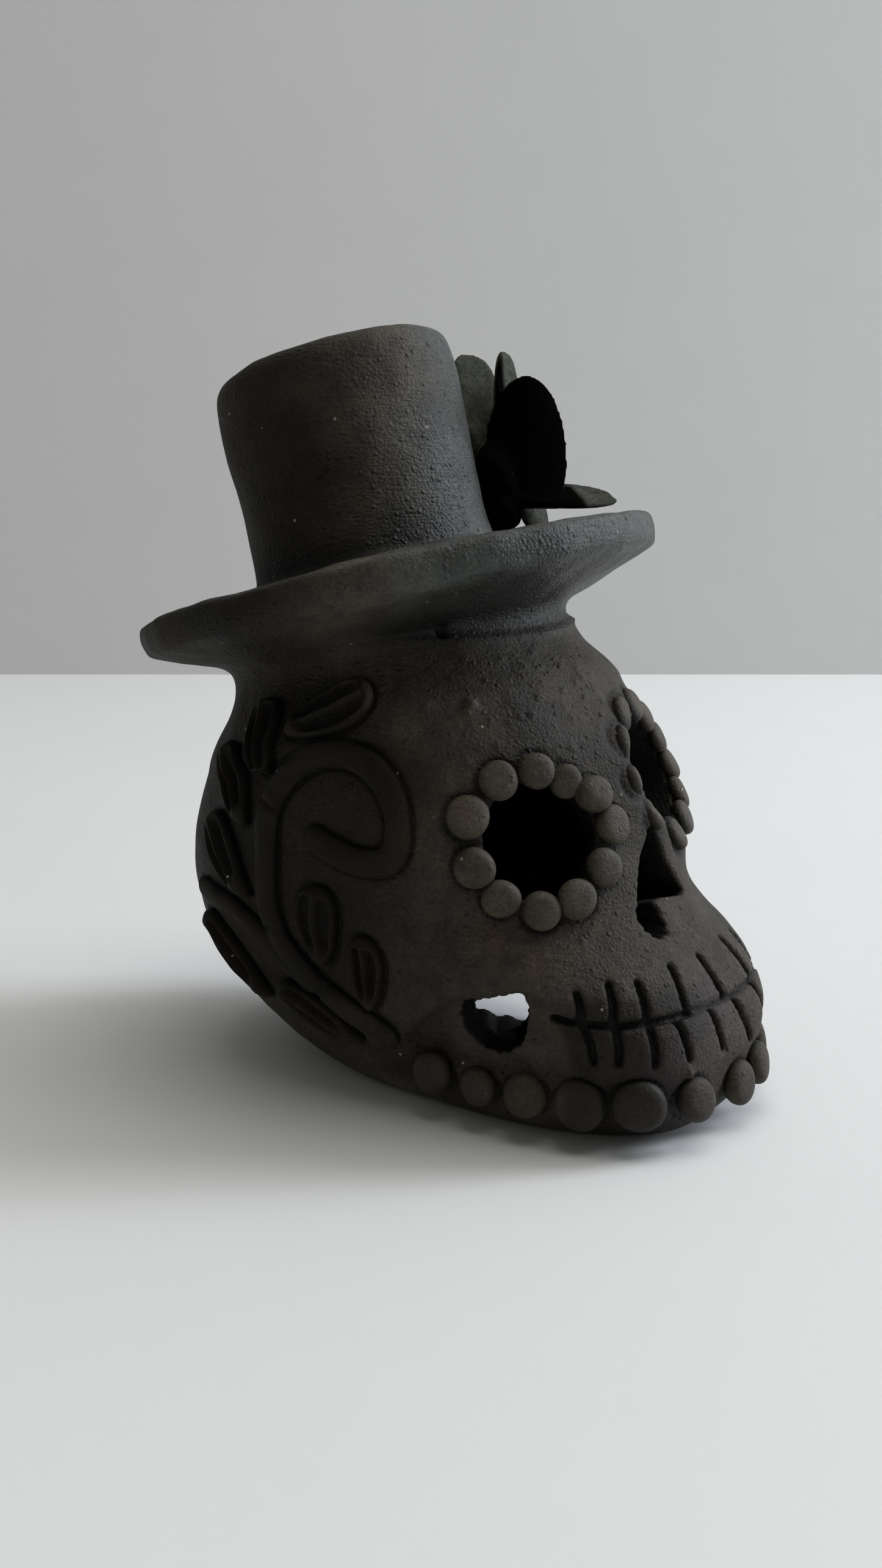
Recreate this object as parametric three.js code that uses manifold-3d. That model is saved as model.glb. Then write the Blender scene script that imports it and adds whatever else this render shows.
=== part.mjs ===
// A skull in a tall hat, hand-built in smoke-darkened fired clay and hollow from below.
// Units are millimetres, +Z is up and the face looks along -Y, so the skull's right side is -X.
// Head, hat and ornament are laid out around the upright axis of the neck, and the whole figure
// is then moved so that the origin lies on the floor under the middle of its outline.
import * as THREE from "three";
import { mergeVertices } from "three/addons/utils/BufferGeometryUtils.js";
import Module from "manifold-3d";

const wasm = await Module();
wasm.setup();

// Overall places
const MOVE_BACK = 13.7;
const GAP = 0.3;

// Level sections of the head from the floor up. Each row holds the height, the reach to the
// front and to the back of the neck axis, the half width, how square the front is (2 is an
// ellipse) and how much wider the back is than the front.
const HEAD_SECTIONS = [
  [0, 62, 12, 20.5, 2.9, 0.05],
  [2, 66, 17, 23.6, 2.9, 0.06],
  [5, 68.4, 22.5, 25.6, 2.9, 0.08],
  [9, 69.8, 28.5, 27.3, 3.0, 0.1],
  [14, 70, 33.5, 29.5, 3.4, 0.13],
  [19, 69.2, 36.2, 31.2, 3.7, 0.15],
  [24, 66.8, 37.7, 32.6, 3.5, 0.16],
  [28, 64, 38.2, 33.6, 3.0, 0.16],
  [32, 60, 38.3, 34.6, 2.6, 0.15],
  [36, 56.8, 38, 35.3, 2.4, 0.14],
  [42, 54.3, 36.8, 36.2, 2.3, 0.11],
  [50, 50.8, 33.8, 36.3, 2.25, 0.08],
  [58, 47.2, 29.4, 35, 2.2, 0.05],
  [66, 43.4, 23.7, 31.5, 2.15, 0],
  [72, 39, 18.5, 26, 2.1, 0],
  [76, 33, 13, 20, 2, 0],
  [79, 22, 6, 12, 2, 0],
  [80, 9, -3, 4, 2, 0],
];
const BACK_SQUARE = 2.1;
const HEAD_COLUMNS = 36;
const HEAD_ROWS = [0, 2, 5, 9, 13, 18, 22, 25.5, 29, 33, 38, 44, 50, 56, 62, 67, 72, 77];

// Walls: the inset is level, so it is larger under the jaw where the outside slopes
const WALL = 5.5;
const FOOT_WALL = 7.2;
const FOOT_WALL_TOP = 6;
const CAVITY_COLUMNS = 20;
const CAVITY_ROWS = [-2, 0, 4, 9, 16, 23, 30, 38, 48, 58, 67, 73];

// Hollow of the jaw under the edge of the cheekbone
const CHEEK_EDGE_TOP = 27.6;
const CHEEK_EDGE_TURN = 50;
const CHEEK_EDGE_FALL = 0.0119;
const JAW_HOLLOW = 2.6;

// Hat: a flared neck, a brim and a tall crown, leaning back from the head
const HAT_LEAN = THREE.MathUtils.degToRad(15);
const HAT_ROLL = THREE.MathUtils.degToRad(-1.7);
const HAT_SEAT = new THREE.Vector3(0, 3.1, 85.7);
const BRIM_FORWARD = 2.6;
const HAT_SEGMENTS = 28;
const HOLLOW_SEGMENTS = 16;
const NECK_OUTLINE = [[36, -24], [33, -20], [31, -16], [30.3, -12], [32, -6]];
const NECK_FOOT = -24;
const BRIM_UNDERSIDE = [[26, -11], [36, -7.8], [42, -5.4]];
const BRIM_EDGE = [[45.5, -3.5], [46.6, -1], [45.9, 1.1], [43.5, 1.9]];
const BRIM_TOP = [[34, 2.3], [26, 3]];
const CROWN_FOOT = [[26, 2.6], [22.7, 4.2], [21.5, 8]];
const CROWN_SIDE = [[21.2, 16], [21.7, 33]];
const CROWN_TOP = [[21, 38], [17, 41.2], [9, 43]];
const CROWN_HEIGHT = 43.5;
const HOLLOW_OUTLINE = [[24.5, -24], [24, -14], [19, -6], [16.2, 2], [16, 34], [13, 37.4]];
const HOLLOW_HEIGHT = 38.6;

// Openings of the face. A turn is an angle round the head, from the middle of the face
// towards the skull's right, in degrees.
const EYES = { right: [33.5, 49], left: [-26.5, 52] };
const EYE_RADIUS = 9.2;
const NOSE_HEIGHT = 42;
const JAW_HOLE_TURN = 62;
const JAW_HOLE_HEIGHT = 20.5;
const JAW_HOLE_RADIUS = 5.2;
const CUT_DEPTH = 13;
const CUTTER_SIDES = 16;

// Incised mouth and the strokes between the teeth. An upper stroke's top end is nearer the
// middle by a part of its turn; a lower stroke has a turn at its top and one at its end.
const MOUTH_HEIGHT = 22;
const MOUTH_TURN = 53;
const MOUTH_WIDTH = 1.5;
const STROKE_WIDTH = 1.4;
const STROKE_DEPTH = 1.7;
const UPPER_STROKES = [47, 41.5, 34, 19, -3, -22, -34, -43];
const UPPER_STROKE_SPREAD = 0.87;
const UPPER_STROKE_TOP = 28;
const LOWER_STROKES = [
  [48, 48], [42, 43], [34, 35], [24, 23], [8, 4], [-7, -15], [-23, -30], [-38, -42],
];
const LOWER_STROKE_END = 15;

// Rolled and flattened pellets round the eyes and along the jaw
const PELLET_SIDES = 9;
const EYE_RING = [12, 11.4];
const EYE_PELLET_WIDTH = 6.6;
const EYE_PELLET_THICK = 2.4;
const EYE_PELLET_ANGLES = [125, 93, 64, 38, 9, -24, -61, -93, -125, -156, 165];
const JAW_PELLETS = [
  [80, 8.3, 7.1], [70, 7.8, 6.7], [61, 8, 7.5], [51, 7.8, 8.6], [38, 8.1, 8.9], [21.5, 7.8, 8],
];
const JAW_PELLET_MIDDLE = [-4.5, 7.4, 8.6];
const JAW_PELLET_THICK = 2.7;
const PELLET_LIFT = 0.45;

// Flattened coils: each place is a turn in degrees and a height
const VINE = [
  [86, 14], [95, 19], [102, 27], [101, 33], [99, 43], [97, 53], [91, 59.5],
  [80, 61.5], [69, 59], [64, 52], [67, 45.2], [75, 44], [87, 47.5],
];
const BRANCH = [[125, 32], [112, 31.3], [106.5, 27.5], [102.5, 23.8]];
const VINE_WIDTH = 4.6;
const VINE_THICK = 1.7;
const VINE_STEPS = 21;
const BRANCH_STEPS = 6;

// Leaves: the blunt end, the tip and the width
const LEAVES = [
  [76, 70.2, 95, 63.2, 7.4],
  [115, 68.2, 102, 55.6, 6],
  [120, 58.9, 105.5, 47, 6],
  [121, 46.9, 106, 35, 7],
  [130, 27, 116.5, 15.4, 7],
  [85.5, 39.2, 93, 25.4, 7.2],
  [79, 31.7, 87, 18.6, 5.2],
  [108, 18, 97, 11.6, 5.6],
];
const LEAF_THICK = 1.5;
const LEAF_LIFT = 0.6;
const LEAF_STEPS = 4;
const LEAF_RIBS = [[-1, 0.85], [-0.42, 0.15], [0, 1], [0.42, 0.15], [1, 0.85]];

// Flower on the crown, over the skull's left temple. Each petal has its turn round the flower's
// axis from straight up, its spread from that axis, its twist, its length and its width.
const FLOWER_TURN = -57;
const FLOWER_HEIGHT = 15;
const PETALS = [
  [57, 44, 0, 20, 18],
  [3, 60, 0, 23, 12],
  [-20, 69, 55, 24, 13],
  [-140, 38, 0, 17, 14],
  [165, 17, -30, 24, 12],
];
const PETAL_THICK = 1.9;
const PETAL_STEPS = 4;
const PETAL_CUP = 0.16;
const FLOWER_BUD = 4.6;

const rad = THREE.MathUtils.degToRad;

// A smooth curve through the rows of a table that never overshoots them
function smoothColumn(rows, column, x) {
  let i = rows.findIndex((row) => row[0] > x) - 1;
  if (i < 0) i = x < rows[0][0] ? 0 : rows.length - 2;
  const slope = (k) => (rows[k + 1][column] - rows[k][column]) / (rows[k + 1][0] - rows[k][0]);
  const tangent = (k) => {
    if (k === 0 || k === rows.length - 1) return slope(Math.min(k, rows.length - 2));
    const before = slope(k - 1);
    const after = slope(k);
    return before * after <= 0 ? 0 : (2 * before * after) / (before + after);
  };
  const span = rows[i + 1][0] - rows[i][0];
  const t = THREE.MathUtils.clamp((x - rows[i][0]) / span, 0, 1);
  const rise = t * t * (3 - 2 * t);
  const out = t * (1 - t) * (1 - t) * span * tangent(i);
  const back = t * t * (1 - t) * span * tangent(i + 1);
  return rows[i][column] * (1 - rise) + rows[i + 1][column] * rise + out - back;
}

// A point on the level section at a height, with the section made smaller by an inset
function sectionPoint(turn, height, inset) {
  const columns = [1, 2, 3, 4, 5].map((column) => smoothColumn(HEAD_SECTIONS, column, height));
  const [front, back, half, square, taper] = columns;
  const middle = (back - front) / 2;
  const reach = (back + front) / 2 - inset;
  const c = Math.cos(turn);
  const s = Math.sin(turn);
  const power = c > 0 ? square : BACK_SQUARE;
  const k = (Math.abs(c) ** power + Math.abs(s) ** power) ** (-1 / power);
  const x = -s * k * (half - inset) * (1 - taper * c * k);
  return new THREE.Vector3(x, middle - c * k * reach, height);
}

// The turn at which a point stands round the head
function turnOf(point) {
  const columns = [1, 2, 3, 5].map((column) => smoothColumn(HEAD_SECTIONS, column, point.z));
  const [front, back, half, taper] = columns;
  const v = (point.y - (back - front) / 2) / ((back + front) / 2);
  const width = half * (1 + taper * THREE.MathUtils.clamp(v, -1.3, 1.3));
  return Math.atan2(-point.x / width, -v);
}

// How far the clay stands out from the plain head: a swell over each cheekbone, brow and outer
// eye rim, and the hollow of the jaw below the cheekbone's edge
function relief(turn, height) {
  const side = Math.abs(THREE.MathUtils.radToDeg(turn));
  const swell = (at, level, wide, tall, rise) =>
    rise * Math.exp(-(((side - at) / wide) ** 2) - ((height - level) / tall) ** 2);
  const edge = CHEEK_EDGE_TOP - CHEEK_EDGE_FALL * Math.max(0, side - CHEEK_EDGE_TURN) ** 2;
  const below = THREE.MathUtils.smoothstep(edge - height, 0, 2.5);
  const inJaw = THREE.MathUtils.smoothstep(side, 47, 56) * THREE.MathUtils.smoothstep(88 - side, 0, 8);
  const above = THREE.MathUtils.smoothstep(height, 9.5, 13);
  const swells = swell(56, 31, 20, 5, 0.9) + swell(28, 62, 14, 5, 0.3) + swell(53, 50, 9, 9, 1.2);
  return swells - JAW_HOLLOW * below * inJaw * above;
}

// The outward direction at a place on the plain head
function outward(turn, height) {
  const step = 0.02;
  const rise = 0.5;
  const low = Math.max(0, height - rise);
  const round = sectionPoint(turn + step, height, 0).sub(sectionPoint(turn - step, height, 0));
  const up = sectionPoint(turn, height + rise, 0).sub(sectionPoint(turn, low, 0));
  return up.cross(round).normalize();
}

// A point on the modelled head, lifted off it by a distance
function skin(turn, height, lift) {
  const point = sectionPoint(turn, height, 0);
  return point.addScaledVector(outward(turn, height), relief(turn, height) + lift);
}

// A closed body through rings of points that all have the same count
function loft(rings) {
  const count = rings[0].length;
  const positions = rings.flat().flatMap((p) => [p.x, p.y, p.z]);
  const index = [];
  for (let r = 0; r < rings.length - 1; r += 1) {
    for (let i = 0; i < count; i += 1) {
      const a = r * count + i;
      const b = r * count + ((i + 1) % count);
      index.push(a, b, a + count, b, b + count, a + count);
    }
  }
  const ends = [rings[0], rings[rings.length - 1]];
  ends.forEach((ring, end) => {
    const middle = ring.reduce((sum, p) => sum.add(p), new THREE.Vector3()).divideScalar(count);
    const hub = positions.length / 3;
    const start = end === 0 ? 0 : (rings.length - 1) * count;
    positions.push(middle.x, middle.y, middle.z);
    for (let i = 0; i < count; i += 1) {
      const next = (i + 1) % count;
      index.push(...(end === 0 ? [hub, start + next, start + i] : [hub, start + i, start + next]));
    }
  });
  const geometry = new THREE.BufferGeometry();
  geometry.setAttribute("position", new THREE.Float32BufferAttribute(positions, 3));
  geometry.setIndex(index);
  return geometry;
}

// Signed volume of a closed mesh, negative when its faces point in
function volumeOf(xyz, index) {
  const [a, b, c] = [new THREE.Vector3(), new THREE.Vector3(), new THREE.Vector3()];
  let six = 0;
  for (let i = 0; i < index.length; i += 3) {
    a.fromArray(xyz, index[i] * 3);
    b.fromArray(xyz, index[i + 1] * 3);
    c.fromArray(xyz, index[i + 2] * 3);
    six += a.dot(b.cross(c));
  }
  return six / 6;
}

// A closed geometry as a solid that can be joined and cut
function solid(geometry) {
  const bare = geometry.clone();
  bare.deleteAttribute("normal");
  bare.deleteAttribute("uv");
  const merged = mergeVertices(bare, 1e-4);
  const xyz = merged.attributes.position.array;
  const all = Array.from(merged.index.array);
  const index = [];
  for (let i = 0; i < all.length; i += 3) {
    const [a, b, c] = all.slice(i, i + 3);
    if (a !== b && b !== c && a !== c) index.push(a, b, c);
  }
  if (volumeOf(xyz, index) < 0) index.reverse();
  const mesh = new wasm.Mesh({
    numProp: 3,
    vertProperties: new Float32Array(xyz),
    triVerts: new Uint32Array(index),
  });
  return new wasm.Manifold(mesh);
}

// The largest of the bodies that a cut leaves
function largest(body) {
  const volume = (part) => part.volume();
  return body.decompose().reduce((best, part) => (volume(part) > volume(best) ? part : best));
}

// A solid back as a geometry with flat facets
function facets(body) {
  const mesh = body.getMesh();
  const geometry = new THREE.BufferGeometry();
  geometry.setAttribute("position", new THREE.BufferAttribute(mesh.vertProperties, 3));
  geometry.setIndex(new THREE.BufferAttribute(mesh.triVerts, 1));
  geometry.computeVertexNormals();
  return geometry;
}

// Hat frame: its local Z is the crown's axis
const hatMatrix = new THREE.Matrix4()
  .makeTranslation(HAT_SEAT.x, HAT_SEAT.y, HAT_SEAT.z)
  .multiply(new THREE.Matrix4().makeRotationY(HAT_ROLL))
  .multiply(new THREE.Matrix4().makeRotationX(-HAT_LEAN));
const hatInverse = hatMatrix.clone().invert();

// A turned body in the hat frame from pairs of radius and height, smooth between them
function turned(outline, segments, forward = 0) {
  const points = outline.map(([radius, height]) => new THREE.Vector2(radius, height));
  const closed = [new THREE.Vector2(0, points[0].y), ...points];
  if (points[points.length - 1].x > 0) closed.push(new THREE.Vector2(0, points[points.length - 1].y));
  const geometry = new THREE.LatheGeometry(closed, segments);
  geometry.rotateX(Math.PI / 2);
  geometry.translate(0, -forward, 0);
  geometry.applyMatrix4(hatMatrix);
  return geometry;
}

// Outside radius of the neck at a height in the hat frame
function neckRadius(height) {
  const rows = NECK_OUTLINE.map(([radius, level]) => [level, radius]);
  return smoothColumn(rows, 1, height);
}

// The place on the outside of head and neck beside a point, lifted by a distance
function onClay(point, lift) {
  const place = skin(turnOf(point), point.z, lift);
  const local = place.clone().applyMatrix4(hatInverse);
  const across = Math.hypot(local.x, local.y);
  const reach = neckRadius(local.z) + lift;
  if (across >= reach || local.z < NECK_FOOT || local.z > 0) return place;
  local.x *= reach / across;
  local.y *= reach / across;
  return local.applyMatrix4(hatMatrix);
}

function headBody(lift) {
  const rings = HEAD_ROWS.map((height) => {
    const ring = [];
    for (let i = 0; i < HEAD_COLUMNS; i += 1) {
      const turn = (i / HEAD_COLUMNS) * 2 * Math.PI;
      const point = skin(turn, height, lift);
      point.z = height;
      ring.push(point);
    }
    return ring;
  });
  return solid(loft(rings));
}

function headCavity() {
  const rings = CAVITY_ROWS.map((height) => {
    const level = Math.max(0, height);
    const inset = height < FOOT_WALL_TOP ? FOOT_WALL : WALL + 0.4;
    const ring = [];
    for (let i = 0; i < CAVITY_COLUMNS; i += 1) {
      const turn = (i / CAVITY_COLUMNS) * 2 * Math.PI;
      const hollow = Math.min(0, relief(turn, level));
      const point = sectionPoint(turn, Math.min(level + (height > 60 ? WALL : 0), 79), inset - hollow);
      point.z = height;
      ring.push(point);
    }
    return ring;
  });
  return solid(loft(rings));
}

function hatBody() {
  const neck = turned(NECK_OUTLINE, HAT_SEGMENTS);
  const brim = turned([...BRIM_UNDERSIDE, ...BRIM_EDGE, ...BRIM_TOP], HAT_SEGMENTS, BRIM_FORWARD);
  const crown = turned([...CROWN_FOOT, ...CROWN_SIDE, ...CROWN_TOP, [0, CROWN_HEIGHT]], HAT_SEGMENTS);
  return solid(neck).add(solid(brim)).add(solid(crown));
}

// Head and neck with the gap that is kept round them, for cutting what lies on them
function roomOfClay() {
  const neck = NECK_OUTLINE.map(([radius, height]) => [radius + 1.5 * GAP, height]);
  return headBody(GAP).add(solid(turned(neck, HAT_SEGMENTS)));
}
const clayRoom = roomOfClay();

function hatCavity() {
  return solid(turned([...HOLLOW_OUTLINE, [0, HOLLOW_HEIGHT]], HOLLOW_SEGMENTS));
}

// A frame on the clay whose local Z points outward and whose local Y points up the head
function seatMatrix(turn, height, lift) {
  const origin = skin(turn, height, lift);
  const out = outward(turn, height);
  const across = new THREE.Vector3(0, 0, 1).cross(out).normalize();
  const up = out.clone().cross(across);
  return new THREE.Matrix4().makeBasis(across, up, out).setPosition(origin);
}

// A round cutter through the wall at a place on the head
function roundCutter(turn, height, radius) {
  const geometry = new THREE.CylinderGeometry(radius * 1.06, radius * 0.94, CUT_DEPTH * 2, CUTTER_SIDES);
  geometry.rotateX(Math.PI / 2);
  geometry.applyMatrix4(seatMatrix(turn, height, 0));
  return solid(geometry);
}

// The nose opening: pointed above, with two lobes below either side of a short spine
function noseCutter() {
  const outline = new THREE.Shape();
  outline.moveTo(1.4, 7.6);
  outline.bezierCurveTo(3, 4.5, 6, -1, 7, -5.6);
  outline.bezierCurveTo(7, -9.6, 3, -10, 2.4, -6.4);
  outline.quadraticCurveTo(0.6, -4.8, -1.4, -6.6);
  outline.bezierCurveTo(-2.6, -11.4, -7, -10.4, -6.4, -5);
  outline.bezierCurveTo(-4.6, -0.5, -0.4, 4.6, 1.4, 7.6);
  const extent = { depth: CUT_DEPTH * 2, bevelEnabled: false, curveSegments: 4 };
  const geometry = new THREE.ExtrudeGeometry(outline, extent);
  geometry.translate(0, 0, -CUT_DEPTH);
  geometry.applyMatrix4(seatMatrix(0, NOSE_HEIGHT, 0));
  return solid(geometry);
}

// A groove with a V section along places on the head
function groove(places, width) {
  const rings = places.map(([turn, height], i) => {
    const here = skin(rad(turn), height, 0);
    const [beforeTurn, beforeHeight] = places[Math.max(0, i - 1)];
    const [afterTurn, afterHeight] = places[Math.min(places.length - 1, i + 1)];
    const before = skin(rad(beforeTurn), beforeHeight, 0);
    const along = skin(rad(afterTurn), afterHeight, 0).sub(before).normalize();
    const out = outward(rad(turn), height);
    const across = along.cross(out).normalize();
    const rim = here.clone().addScaledVector(out, STROKE_DEPTH);
    return [
      rim.clone().addScaledVector(across, width),
      here.clone().addScaledVector(out, -STROKE_DEPTH),
      rim.clone().addScaledVector(across, -width),
    ];
  });
  return solid(loft(rings));
}

function mouthCutter() {
  const places = [];
  for (let i = 6; i >= -6; i -= 1) places.push([(i * MOUTH_TURN) / 6, MOUTH_HEIGHT]);
  let cutter = groove(places, MOUTH_WIDTH);
  UPPER_STROKES.forEach((turn) => {
    const stroke = [[turn * UPPER_STROKE_SPREAD, UPPER_STROKE_TOP], [turn, MOUTH_HEIGHT]];
    cutter = cutter.add(groove(stroke, STROKE_WIDTH));
  });
  LOWER_STROKES.forEach(([top, end]) => {
    const stroke = [[top, MOUTH_HEIGHT], [end, LOWER_STROKE_END]];
    cutter = cutter.add(groove(stroke, STROKE_WIDTH));
  });
  return cutter;
}

function skullWithHat() {
  const eyes = Object.values(EYES).map(([turn, height]) => roundCutter(rad(turn), height, EYE_RADIUS));
  const jawTurns = [rad(JAW_HOLE_TURN), -rad(JAW_HOLE_TURN)];
  const jawHoles = jawTurns.map((turn) => roundCutter(turn, JAW_HOLE_HEIGHT, JAW_HOLE_RADIUS));
  const cuts = [headCavity(), hatCavity(), noseCutter(), mouthCutter(), ...eyes, ...jawHoles];
  return cuts.reduce((body, cut) => body.subtract(cut), headBody(0).add(hatBody()));
}

// A flattened pellet with a slightly domed face, standing on its local XY plane
function pellet(width, thick) {
  const r = width / 2;
  const outline = [[0, 0], [r, thick * 0.12], [r * 0.82, thick * 0.8], [0, thick]];
  const points = outline.map(([radius, height]) => new THREE.Vector2(radius, height));
  const geometry = new THREE.LatheGeometry(points, PELLET_SIDES);
  geometry.rotateX(Math.PI / 2);
  return geometry;
}

function eyePellet(side, angle) {
  const [turn, height] = EYES[side];
  const round = rad(side === "right" ? angle : 180 - angle);
  const reach = new THREE.Vector3(EYE_RING[0] * Math.cos(round), EYE_RING[1] * Math.sin(round), 0);
  const place = reach.applyMatrix4(seatMatrix(rad(turn), height, 0));
  const geometry = pellet(EYE_PELLET_WIDTH, EYE_PELLET_THICK);
  return geometry.applyMatrix4(seatMatrix(turnOf(place), place.z, PELLET_LIFT));
}

function eyePellets(side) {
  const pellets = EYE_PELLET_ANGLES.map((angle) => solid(eyePellet(side, angle)));
  return pellets.map((body, i) => {
    const next = pellets[(i + 1) % pellets.length];
    const middle = next.boundingBox();
    const centre = middle.min.map((low, axis) => (low + middle.max[axis]) / 2);
    const grow = 1 + (2 * GAP) / EYE_PELLET_THICK / 2;
    const room = next.translate(centre.map((v) => -v)).scale(grow).translate(centre);
    return facets(body.subtract(room).subtract(clayRoom));
  });
}

// One ring of a flattened coil across its path
function coilRing(here, along, width, thick, lift) {
  const out = outward(turnOf(here), here.z);
  const across = along.clone().cross(out).normalize();
  const profile = [[-1, 0], [-0.8, 0.75], [-0.3, 1], [0.3, 1], [0.8, 0.75], [1, 0]];
  return profile.map(([aside, rise]) => {
    const beside = here.clone().addScaledVector(across, (aside * width) / 2);
    return onClay(beside, lift + rise * thick);
  });
}

function coil(places, side, steps, width, thick, lift) {
  const points = places.map(([turn, height]) => skin(rad(side * turn), height, 0));
  const path = new THREE.CatmullRomCurve3(points);
  const rings = [];
  for (let i = 0; i <= steps; i += 1) {
    const end = Math.min(1, (0.35 + Math.min(i, steps - i)) / 1.35);
    const here = path.getPointAt(i / steps);
    rings.push(coilRing(here, path.getTangentAt(i / steps), width * end, thick * end, lift));
  }
  return solid(loft(rings));
}

// Stem, curl and side branch pressed together; room adds width for what lies beside them
function vine(side, room) {
  const lift = room > 0 ? 0 : GAP + 0.05;
  const width = VINE_WIDTH + 2 * room;
  const thick = VINE_THICK + room;
  const stem = coil(VINE, side, VINE_STEPS, width, thick, lift);
  return stem.add(coil(BRANCH, side, BRANCH_STEPS, width * 0.8, thick * 0.9, lift));
}

// A leaf with a blunt end, a tip, a middle rib and a groove on each side of it
function leaf([bluntTurn, bluntHeight, tipTurn, tipHeight, width], side) {
  const blunt = skin(rad(side * bluntTurn), bluntHeight, 0);
  const tip = skin(rad(side * tipTurn), tipHeight, 0);
  const along = tip.clone().sub(blunt).normalize();
  const rings = [];
  for (let i = 0; i <= LEAF_STEPS; i += 1) {
    const u = i / LEAF_STEPS;
    const swell = Math.sin(Math.PI * Math.min(0.985, 0.04 + 0.96 * u ** 0.8)) ** 0.75;
    const half = (width / 2) * Math.max(0.1, swell);
    const here = blunt.clone().lerp(tip, u);
    const out = outward(turnOf(here), here.z);
    const across = along.clone().cross(out).normalize();
    const ends = i === 0 || i === LEAF_STEPS;
    const top = LEAF_RIBS.map(([aside, rise]) => {
      const height = ends ? 0.6 : rise;
      const beside = here.clone().addScaledVector(across, aside * half);
      return onClay(beside, LEAF_LIFT + height * LEAF_THICK);
    });
    const under = [1, -1].map((aside) => {
      const beside = here.clone().addScaledVector(across, aside * half);
      return onClay(beside, LEAF_LIFT);
    });
    rings.push([...top, ...under]);
  }
  return solid(loft(rings));
}

// A petal along its own direction, cupped towards the flower's axis
function petal([round, spread, twist, length, width], frame) {
  const a = rad(round);
  const b = rad(spread);
  const up = new THREE.Vector3(Math.sin(a), Math.cos(a), 0);
  const along = up.clone().multiplyScalar(Math.sin(b)).add(new THREE.Vector3(0, 0, Math.cos(b)));
  const across = new THREE.Vector3(Math.cos(a), -Math.sin(a), 0);
  const inward = along.clone().cross(across).normalize();
  if (inward.z < 0) inward.negate();
  across.applyAxisAngle(along, rad(twist));
  inward.applyAxisAngle(along, rad(twist));
  const rings = [];
  for (let i = 0; i <= PETAL_STEPS; i += 1) {
    const u = i / PETAL_STEPS;
    const end = u > 0.9 ? 0.62 : 1;
    const half = (width / 2) * (0.3 + 0.7 * Math.sin(Math.PI * 0.82 * u ** 0.85)) * end;
    const thick = PETAL_THICK * (1.25 - 0.55 * u);
    const profile = [[-1, 0], [-0.5, 0.5], [0.5, 0.5], [1, 0], [0.5, -0.5], [-0.5, -0.5]];
    rings.push(profile.map(([aside, rise]) => {
      const cup = PETAL_CUP * half * aside * aside - 0.08 * length * u * u;
      return along.clone().multiplyScalar(length * u)
        .addScaledVector(across, aside * half)
        .addScaledVector(inward, cup + rise * thick)
        .applyMatrix4(frame);
    }));
  }
  return solid(loft(rings));
}

function flower() {
  const turn = rad(FLOWER_TURN);
  const out = new THREE.Vector3(-Math.sin(turn), -Math.cos(turn), 0);
  const up = new THREE.Vector3(0, 0, 1);
  const towardFace = up.clone().cross(out).negate();
  const seat = out.clone().multiplyScalar(CROWN_SIDE[0][0] + 0.6).setZ(FLOWER_HEIGHT);
  const frame = new THREE.Matrix4().makeBasis(towardFace, up, out).setPosition(seat);
  frame.premultiply(hatMatrix);
  const bud = new THREE.SphereGeometry(FLOWER_BUD, 8, 5).applyMatrix4(frame);
  const body = PETALS.reduce((sum, one) => sum.add(petal(one, frame)), solid(bud));
  const outline = [[CROWN_FOOT[0][0], -2], ...CROWN_FOOT, ...CROWN_SIDE, ...CROWN_TOP];
  const room = outline.map(([radius, height]) => [radius + GAP, height + GAP]);
  return body.subtract(solid(turned(room, HAT_SEGMENTS)));
}

const smokedClay = new THREE.MeshStandardMaterial({ color: 0x45423d, roughness: 0.78, metalness: 0 });
const pelletClay = new THREE.MeshStandardMaterial({ color: 0x4b4741, roughness: 0.74, metalness: 0 });
const sprigClay = new THREE.MeshStandardMaterial({ color: 0x413e39, roughness: 0.8, metalness: 0 });

const figure = new THREE.Group();
figure.position.y = MOVE_BACK;

function addPiece(name, geometry, material) {
  const piece = new THREE.Mesh(geometry, material);
  piece.name = name;
  figure.add(piece);
  return piece;
}

const numbered = (name, i) => `${name}_${String(i + 1).padStart(2, "0")}`;

addPiece("skull_with_hat", facets(skullWithHat()), smokedClay);

["right", "left"].forEach((side) => {
  eyePellets(side).forEach((geometry, i) => {
    addPiece(numbered(`eye_pellet_${side}`, i), geometry, pelletClay);
  });
});

const jawPellets = [
  ...JAW_PELLETS,
  JAW_PELLET_MIDDLE,
  ...JAW_PELLETS.map(([turn, height, width]) => [-turn, height, width]).reverse(),
];
jawPellets.forEach(([turn, height, width], i) => {
  const seat = seatMatrix(rad(turn), height, PELLET_LIFT);
  const seated = solid(pellet(width, JAW_PELLET_THICK).applyMatrix4(seat)).subtract(clayRoom);
  addPiece(numbered("jaw_pellet", i), facets(seated), pelletClay);
});

[["right", 1], ["left", -1]].forEach(([side, sign]) => {
  const beside = vine(sign, GAP);
  addPiece(`vine_${side}`, facets(vine(sign, 0).subtract(clayRoom)), sprigClay);
  LEAVES.forEach((one, i) => {
    const seated = leaf(one, sign).subtract(beside).subtract(clayRoom);
    addPiece(numbered(`leaf_${side}`, i), facets(largest(seated)), sprigClay);
  });
});

addPiece("flower", facets(flower()), pelletClay);

export default figure;
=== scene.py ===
"""A skull in a tall hat, hand-built in smoke-darkened clay: its looks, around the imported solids.

Lengths in this file are millimetres in the potter's frame, whose upright axis is the middle of the
neck, with +Z up and the face towards -Y. A turn is an angle round the head, in degrees, from the
middle of the face towards the skull's right.
"""
import math

import bpy
import numpy as np
import openvdb
from bpy.props import FloatProperty, IntProperty, PointerProperty, StringProperty
from mathutils import Matrix, Vector, kdtree


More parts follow.
